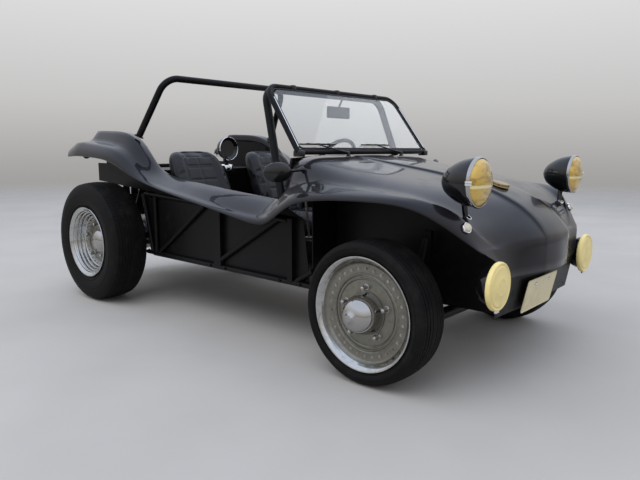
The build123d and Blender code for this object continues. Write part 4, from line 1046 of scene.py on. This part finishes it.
# Corded seam round the front edge of a pad
def pipingLine(tree, name, place):
    *rows, last = seatLook[name][1:]
    path = [(along, half - 1, 0.86 * deep) for along, half, deep, *_ in rows]
    path += [(last[0] - 6, 0.62 * last[1], 0.9 * last[2]), (last[0] + 4, 0, 0.9 * last[2])]
    path += [(along, -y, z) for along, y, z in path[-2::-1]]
    spots = [tree.find_nearest(Vector(point) / 1000) for point in path]
    return [place @ (spot[0] + spot[1] * seatLook["piping"] * 0.35) for spot in spots]


def addSeats():
    for name in ("back", "cushion"):
        bm = swollen(f"{name}Pad", padCage(seatLook[name]))
        sewn(bm, seatLook["panel"][name], seatLook[f"{name}Rows"])
        tree = BVHTree.FromBMesh(bm)
        for end, side in (("right", -1), ("left", 1)):
            place = padPlace(name, end, side)
            copy = bm.copy()
            bmesh.ops.transform(copy, matrix=place, verts=copy.verts)
            pad = addPiece(f"seat_{end}.{name}", copy, "car", "seat_vinyl", 180, (f"seat_{end}",))
            smoother(pad, 1)
            addPipe(f"seatPiping_{end}.{name}", pipingLine(tree, name, place), seatLook["piping"], "car", "seat_vinyl")
        bm.free()


# Steering wheel: round grip, three flat drilled spokes and a boss
steering = {
    "hub": (-985, 312, 812), "rake": 28, "r": 0.172, "grip": 0.012, "gripSides": 16,
    "spokes": (90, 210, 330), "spoke": (0.142, 0.024, 0.0035), "spokeOut": 0.095, "spokeEdge": 0.0012,
    "holes": (0.062, 0.093, 0.124), "hole": [(0.0016, 0.0062), (0.0028, 0.0074), (0.0026, 0.0085), (0.0012, 0.0088)],
    "boss": [(-0.014, 0), (-0.014, 0.026), (-0.004, 0.031), (0.006, 0.033), (0.014, 0.030), (0.0185, 0.022),
             (0.020, 0.010), (0.0202, 0)],
}
steeringPieces = [("steeringGrip", "black_plastic", "black_plastic", 60, "steering_wheel"),
                  ("steeringSpokes", "chrome_trim", "black_plastic", 32),
                  ("steeringBoss", "black_plastic", "black_plastic", 40)]


def addSteeringWheel():
    grip, spokes, boss = meshes = newMeshes(steeringPieces)
    k, hub, rake = steering, at(*steering["hub"]), radians(steering["rake"])
    up = Vector((-cos(rake), 0, sin(rake)))
    across = Vector((0, 1, 0))
    down = up.cross(across).normalized()
    turns = [2 * pi * i / k["gripSides"] for i in range(k["gripSides"])]
    turnedShape(grip, [(k["grip"] * sin(t), k["r"] + k["grip"] * cos(t)) for t in turns], hub, up, 84, True)
    for turn in k["spokes"]:
        out = across * cos(radians(turn)) + down * sin(radians(turn))
        place = Matrix.Translation(hub + out * k["spokeOut"]) @ facing(out, up.cross(out), up)
        bevelled(spokes, edgesOf(cube(spokes, place, k["spoke"])), k["spokeEdge"], 2)
        for step in k["holes"]:
            turnedShape(spokes, k["hole"], hub + out * step, up, 20)
    turnedShape(boss, k["boss"], hub, up, 44)
    addPieces(steeringPieces, meshes, "steering_wheel")


# Windscreen fittings. Foot and top of the glass's middle plane as x z, and its half width at both
screen = {
    "foot": (-484, 900.7), "top": (-708, 1204), "footY": 524, "topY": 510, "seal": 0.0055, "sealAhead": 0.0025,
    "trim": 0.0022, "trimAhead": 0.0122, "topClamps": (-330, 330, 0), "footClamp": (515, 4),
    "topClamp": ((-0.017, -0.013, -0.017), (0.017, 0.013, 0.015)), "topEdge": 0.006,
    "footClampSize": ((-0.022, -0.018, -0.024), (0.022, 0.018, 0.004)), "footEdge": 0.005,
}


def onScreen(y, up, ahead=0.0):
    foot, top = screen["foot"], screen["top"]
    along = (Vector((top[0] - foot[0], 0, top[1] - foot[1])) / 1000).normalized()
    front = Vector((0, 1, 0)).cross(along).normalized()
    return at(foot[0], y, foot[1]) + along * up / 1000 + front * ahead


def addScreenFittings():
    k = screen
    tall = math.dist(k["foot"], k["top"])
    low, high = k["footY"] - 18, k["topY"] - 17
    half = [(0, 17), (low - 60, 17), (low, 17), (low - 2, 60), (high + 3, tall - 130), (high, tall - 60),
            (high - 8, tall - 24), (high - 44, tall - 17), (high - 90, tall - 17)]
    seal = [onScreen(y, up, k["sealAhead"]) for y, up in half + [(-y, up) for y, up in half[:0:-1]]]
    addPipe("screenSeal", seal, k["seal"], "car", "black_plastic", True)
    for end, side in (("right", -1), ("left", 1)):
        strip = [onScreen(side * (k["footY"] - 4 - 14 * t), 20 + t * (tall - 96), k["trimAhead"]) for t in (0, 0.5, 1)]
        addPipe(f"screenTrim_{end}", strip, k["trim"], "car", "chrome_trim")
    bm = bmesh.new()
    for y in k["topClamps"]:
        blockAt(bm, onScreen(y, tall), *k["topClamp"], k["topEdge"])
    for side in (-1, 1):
        blockAt(bm, onScreen(side * k["footClamp"][0], k["footClamp"][1]), *k["footClampSize"], k["footEdge"])
    addPiece("screenClamps", bm, "car", "gloss_black")


# Wipers: pivot, arm's end and both ends of the blade across the glass, all at one height up it
wiper = {
    "rows": [(-215, -400, -500, -250), (235, 60, -50, 190)], "pivot": (-448, 879), "up": 36,
    "pivotLine": [(0, 0), (0, 0.0125), (0.004, 0.0125), (0.006, 0.0088), (0.019, 0.0082), (0.0235, 0.006), (0.025, 0)],
    "armFrom": 0.018, "kneeAt": 0.35, "kneeRise": 0.010, "upper": (0.0062, 0.0045), "lower": (0.0042, 0.0026),
    "clips": (0.22, 0.5, 0.78), "clip": (0.0035, 0.008, 0.003, 0.004), "clipEdge": 0.0012,
    "ahead": {"arm": 0.0145, "clip": 0.0122, "bow": 0.0135, "blade": 0.0098}, "bow": (0.15, 0.0022), "blade": 0.0034,
}
wiperPieces = [("wiperArms", "gloss_black", "black_plastic", 35, "wipers"),
               ("wiperBlades", "black_plastic", "black_plastic", 35)]


def addWipers():
    arms, blades = meshes = newMeshes(wiperPieces)
    k, ahead, up = wiper, wiper["ahead"], wiper["up"]
    upward = Vector((0, 0, 1))
    for y, end, low, high in k["rows"]:
        foot = at(k["pivot"][0], y, k["pivot"][1])
        turnedShape(arms, k["pivotLine"], foot, upward, 28)
        tip = onScreen(end, up, ahead["arm"])
        knee = foot.lerp(tip, k["kneeAt"]) + upward * k["kneeRise"]
        bar(arms, foot + upward * k["armFrom"], knee, *k["upper"])
        bar(arms, knee, tip, *k["lower"])
        x, y, below, above = k["clip"]
        for share in k["clips"]:
            spot = onScreen(low + share * (high - low), up, ahead["clip"])
            blockAt(arms, spot, (-x, -y, -below), (x, y, above), k["clipEdge"])
        share, r = k["bow"]
        inward = share * (high - low)
        bar(arms, onScreen(low + inward, up, ahead["bow"]), onScreen(high - inward, up, ahead["bow"]), r)
        bar(blades, onScreen(low, up, ahead["blade"]), onScreen(high, up, ahead["blade"]), k["blade"])
    addPieces(wiperPieces, meshes)


# Dials on the dash, facing the seats: y, z, radius. Lines are out from the dash, then from the radius
dial = {
    "x": -572.3, "rows": [(312, 834, 0.030), (230, 830, 0.024), (394, 830, 0.024), (120, 830, 0.022), (40, 830, 0.022)],
    "ring": [(0.0004, -0.002), (0.0004, 0.003), (0.004, 0.0035), (0.007, 0.001), (0.0055, -0.002)],
    "edge": 0.0022, "face": (0.001, 0.003, 0.0032),
}
dialPieces = [("dialRings", "chrome_trim", "chrome_trim", 35), ("dialFaces", "gloss_black", "black_plastic", 35)]


def addDials():
    rings, faces = meshes = newMeshes(dialPieces)
    back, (foot, rim, middle) = Vector((-1, 0, 0)), dial["face"]
    for y, z, r in dial["rows"]:
        spot, inner = at(dial["x"], y, z), r - dial["edge"]
        turnedShape(rings, [(a, r + wider) for a, wider in dial["ring"]], spot, back, 40, True)
        turnedShape(faces, [(foot, 0), (foot, inner), (rim, inner), (middle, 0)], spot, back, 40)
    addPieces(dialPieces, meshes)


# Engine: belt between the pulleys, leads, spring clips, air cleaners and small fittings. Places are from its front
engine = {
    "x": -2182.3, "pulleyX": -345, "crankZ": 357, "fanZ": 652,
    "pulley": [(0.0002, 0.020), (0.0002, 0.084), (0.004, 0.085), (0.009, 0.077), (0.014, 0.085), (0.018, 0.084),
               (0.018, 0.060), (0.012, 0.052), (0.012, 0.024), (0.022, 0.022), (0.024, 0.016), (0.024, 0)],
    "fanNut": [(0.0274, 0), (0.0274, 0.020), (0.031, 0.021), (0.037, 0.0195), (0.0385, 0.015), (0.0385, 0)],
    "plugs": [(-85, 300, 432), (-215, 300, 432)], "plugWay": (0, 0.45, 1),
    "plug": [(0, 0.011), (0.006, 0.011), (0.008, 0.007), (0.020, 0.006), (0.024, 0.009), (0.034, 0.009), (0.037, 0.0)],
    "coverX": (-258, -42), "coverY": (386, 400), "coverZ": (300, 396), "coverEdge": 0.006,
    "clips": (-90, -210), "clipFoot": (396, 288), "clipTop": (402, 405), "clip": 0.0035,
    "cleaner": (-40, 335, 612), "cleanerBand": [(0.0, 0.020), (0.0, 0.0756), (0.004, 0.0768), (0.009, 0.0756)],
    "cleanerLid": [(0.078, 0.0762), (0.0812, 0.0758), (0.0835, 0.068), (0.0845, 0.030), (0.0845, 0.012),
                   (0.090, 0.0105), (0.0945, 0.004), (0.095, 0)],
    "cap": (-250, -95, 467), "capLine": [(0, 0.020), (0.028, 0.020), (0.030, 0.034), (0.050, 0.032), (0.060, 0.022),
                                         (0.064, 0)],
    "filler": (-300, 72, 420), "fillerWay": (-0.5, 0, 1),
    "fillerLine": [(0, 0), (0, 0.024), (0.05, 0.024), (0.052, 0.030), (0.064, 0.030), (0.068, 0.024), (0.070, 0)],
    # the belt's own radius, its distance from the pulley's plane, its radius and angles round the crank's pulley,
    # then y and z up one side and over the fan's pulley
    "belt": 0.0055, "beltX": -9, "beltR": 82, "beltTurns": (-100, -60, -20, 20, 60, 100),
    "beltSide": [(68, 560), (66 * sin(radians(70)), 652 + 66 * cos(radians(70))), (30, 715)],
}
enginePieces = [("enginePulley", "steel", "steel", 32), ("engineFittings", "black_plastic", "black_plastic", 32),
                ("engineBright", "chrome_trim", "chrome_trim", 32)]


def onEngine(place, side=1):
    return onSide((engine["x"] + place[0], place[1], place[2]), side)


def addEngineDetail():
    metal, dark, bright = meshes = newMeshes(enginePieces)
    k, back, up = engine, Vector((-1, 0, 0)), Vector((0, 0, 1))
    turnedShape(metal, k["pulley"], onEngine((k["pulleyX"], 0, k["crankZ"])), back, 64)
    turnedShape(bright, k["fanNut"], onEngine((k["pulleyX"], 0, k["fanZ"])), back, 6)
    for side in (-1, 1):
        for place in k["plugs"]:
            turnedShape(dark, k["plug"], onEngine(place, side), towards(k["plugWay"], side), 20)
        ys = sorted(side * y for y in k["coverY"])
        block(metal, *(onEngine(place) for place in zip(k["coverX"], ys, k["coverZ"])), k["coverEdge"])
        for x in k["clips"]:
            bar(bright, onEngine((x, *k["clipFoot"]), side), onEngine((x, *k["clipTop"]), side), k["clip"])
        place = onEngine(k["cleaner"], side)
        turnedShape(dark, k["cleanerBand"], place, up, 56)
        turnedShape(bright, k["cleanerLid"], place, up, 56)
    turnedShape(dark, k["capLine"], onEngine(k["cap"]), up, 36)
    turnedShape(bright, k["fillerLine"], onEngine(k["filler"]), k["fillerWay"], 32)
    addPieces(enginePieces, meshes)
    turns = [radians(t) for t in k["beltTurns"]]
    path = [(k["beltR"] * sin(t), k["crankZ"] - k["beltR"] * cos(t)) for t in turns]
    path += k["beltSide"] + [(-y, z) for y, z in k["beltSide"][::-1]]
    belt = [onEngine((k["pulleyX"] + k["beltX"], y, z)) for y, z in path]
    addPipe("fanBelt", belt, k["belt"], "car", "black_plastic", True)


# Bolts along the frame: x z of each, outer face's y
frameBolt = {
    "places": [(-1700, 318), (-1560, 308), (-1120, 305), (-1000, 304), (-600, 302), (-470, 301)], "y": 530.5,
    "line": [(0.0, 0), (0.0, 0.0105), (0.0018, 0.0105), (0.0022, 0.0078), (0.0078, 0.0074), (0.0084, 0)],
}


def addFrameBolts():
    bm = bmesh.new()
    for side in (-1, 1):
        for x, z in frameBolt["places"]:
            turnedShape(bm, frameBolt["line"], onSide((x, frameBolt["y"], z), side), (0, side, 0), 6)
    addPiece("frameBolts", bm, "car", "black_paint", 32)


addBodySkin()
addSheets()
print("body skin made")
addWheels()
print("wheels made")
addSeats()
print("seats made")
addLamps()
addPlate()
addMirrors()
addCapAndBowl()
print("lamps, mirrors and caps made")
addSteeringWheel()
addScreenFittings()
addWipers()
addDials()
print("cockpit made")
addEngineDetail()
addFrameBolts()
print("engine fittings made")


# Floor and light
stage = {
    "floorColor": (0.44, 0.42, 0.395), "floorSize": 40.0, "fade": (6.0, 16.0), "aim": (0, 0, 0.5),
    # name, power, width and depth, place
    "lamps": [("keyLamp", 170.0, (7.0, 5.0), (0.5, -4.0, 6.0)), ("fillLamp", 60.0, (5.0, 4.0), (-4.5, -4.5, 4.0)),
              ("backLamp", 60.0, (6.0, 3.0), (0.5, 5.5, 4.0))],
    # Sky by height, from straight down to straight up
    "skyStrength": 0.95, "sky": [
        (0.0, (0.10, 0.095, 0.09)), (0.40, (0.18, 0.17, 0.165)), (0.49, (0.42, 0.41, 0.40)),
        (0.54, (0.60, 0.595, 0.59)), (0.64, (0.82, 0.82, 0.83)), (0.80, (1.02, 1.10, 1.28)),
        (1.0, (0.95, 1.08, 1.32))]
}


def addFloor():
    m = Finish("paleFloor", stage["floorColor"], 0.9, specular=0.1)
    shades = [tuple(c * k for c in stage["floorColor"]) for k in (1.03, 0.96)]
    m.set("Base Color", m.mix(m.noise(1.5, 6).ramp(0.3, 0.7), *shades))
    x, y, _ = m.axes()
    m.set("Alpha", 1 - ((x * x + y * y) ** 0.5).ramp(*stage["fade"]))
    bm = bmesh.new()
    bmesh.ops.create_grid(bm, x_segments=1, y_segments=1, size=stage["floorSize"] / 2)
    mesh = bpy.data.meshes.new("floor")
    bm.to_mesh(mesh)
    bm.free()
    mesh.materials.append(m.made)
    obj = bpy.data.objects.new("floor", mesh)
    bpy.context.collection.objects.link(obj)


def addLamp(name, power, size, place):
    data = bpy.data.lights.new(name, "AREA")
    data.energy = power
    data.shape = "RECTANGLE"
    data.size, data.size_y = size
    obj = bpy.data.objects.new(name, data)
    obj.location = place
    obj.rotation_euler = (Vector(stage["aim"]) - Vector(place)).to_track_quat("-Z", "Y").to_euler()
    obj.visible_glossy = False
    bpy.context.collection.objects.link(obj)


def addWorld():
    world = bpy.data.worlds.new("sky")
    world.use_nodes = True
    bpy.context.scene.world = world
    tree = world.node_tree
    coord, split, half, ramp = (tree.nodes.new(kind) for kind in (
        "ShaderNodeTexCoord", "ShaderNodeSeparateXYZ", "ShaderNodeMath", "ShaderNodeValToRGB"))
    elements = ramp.color_ramp.elements
    for place, _ in stage["sky"][1:-1]:
        elements.new(place)
    for element, (place, shade) in zip(elements, stage["sky"]):
        element.position = place
        element.color = (*shade, 1)
    half.operation = "MULTIPLY_ADD"
    half.inputs[1].default_value = half.inputs[2].default_value = 0.5
    back = tree.nodes["Background"]
    back.inputs[1].default_value = stage["skyStrength"]
    for start, end in ((coord.outputs["Generated"], split), (split.outputs[2], half), (half.outputs[0], ramp),
                       (ramp.outputs[0], back)):
        tree.links.new(start, end.inputs[0])


addFloor()
for row in stage["lamps"]:
    addLamp(*row)
addWorld()
bpy.context.scene.view_settings.view_transform = "Standard"
print("stage set")
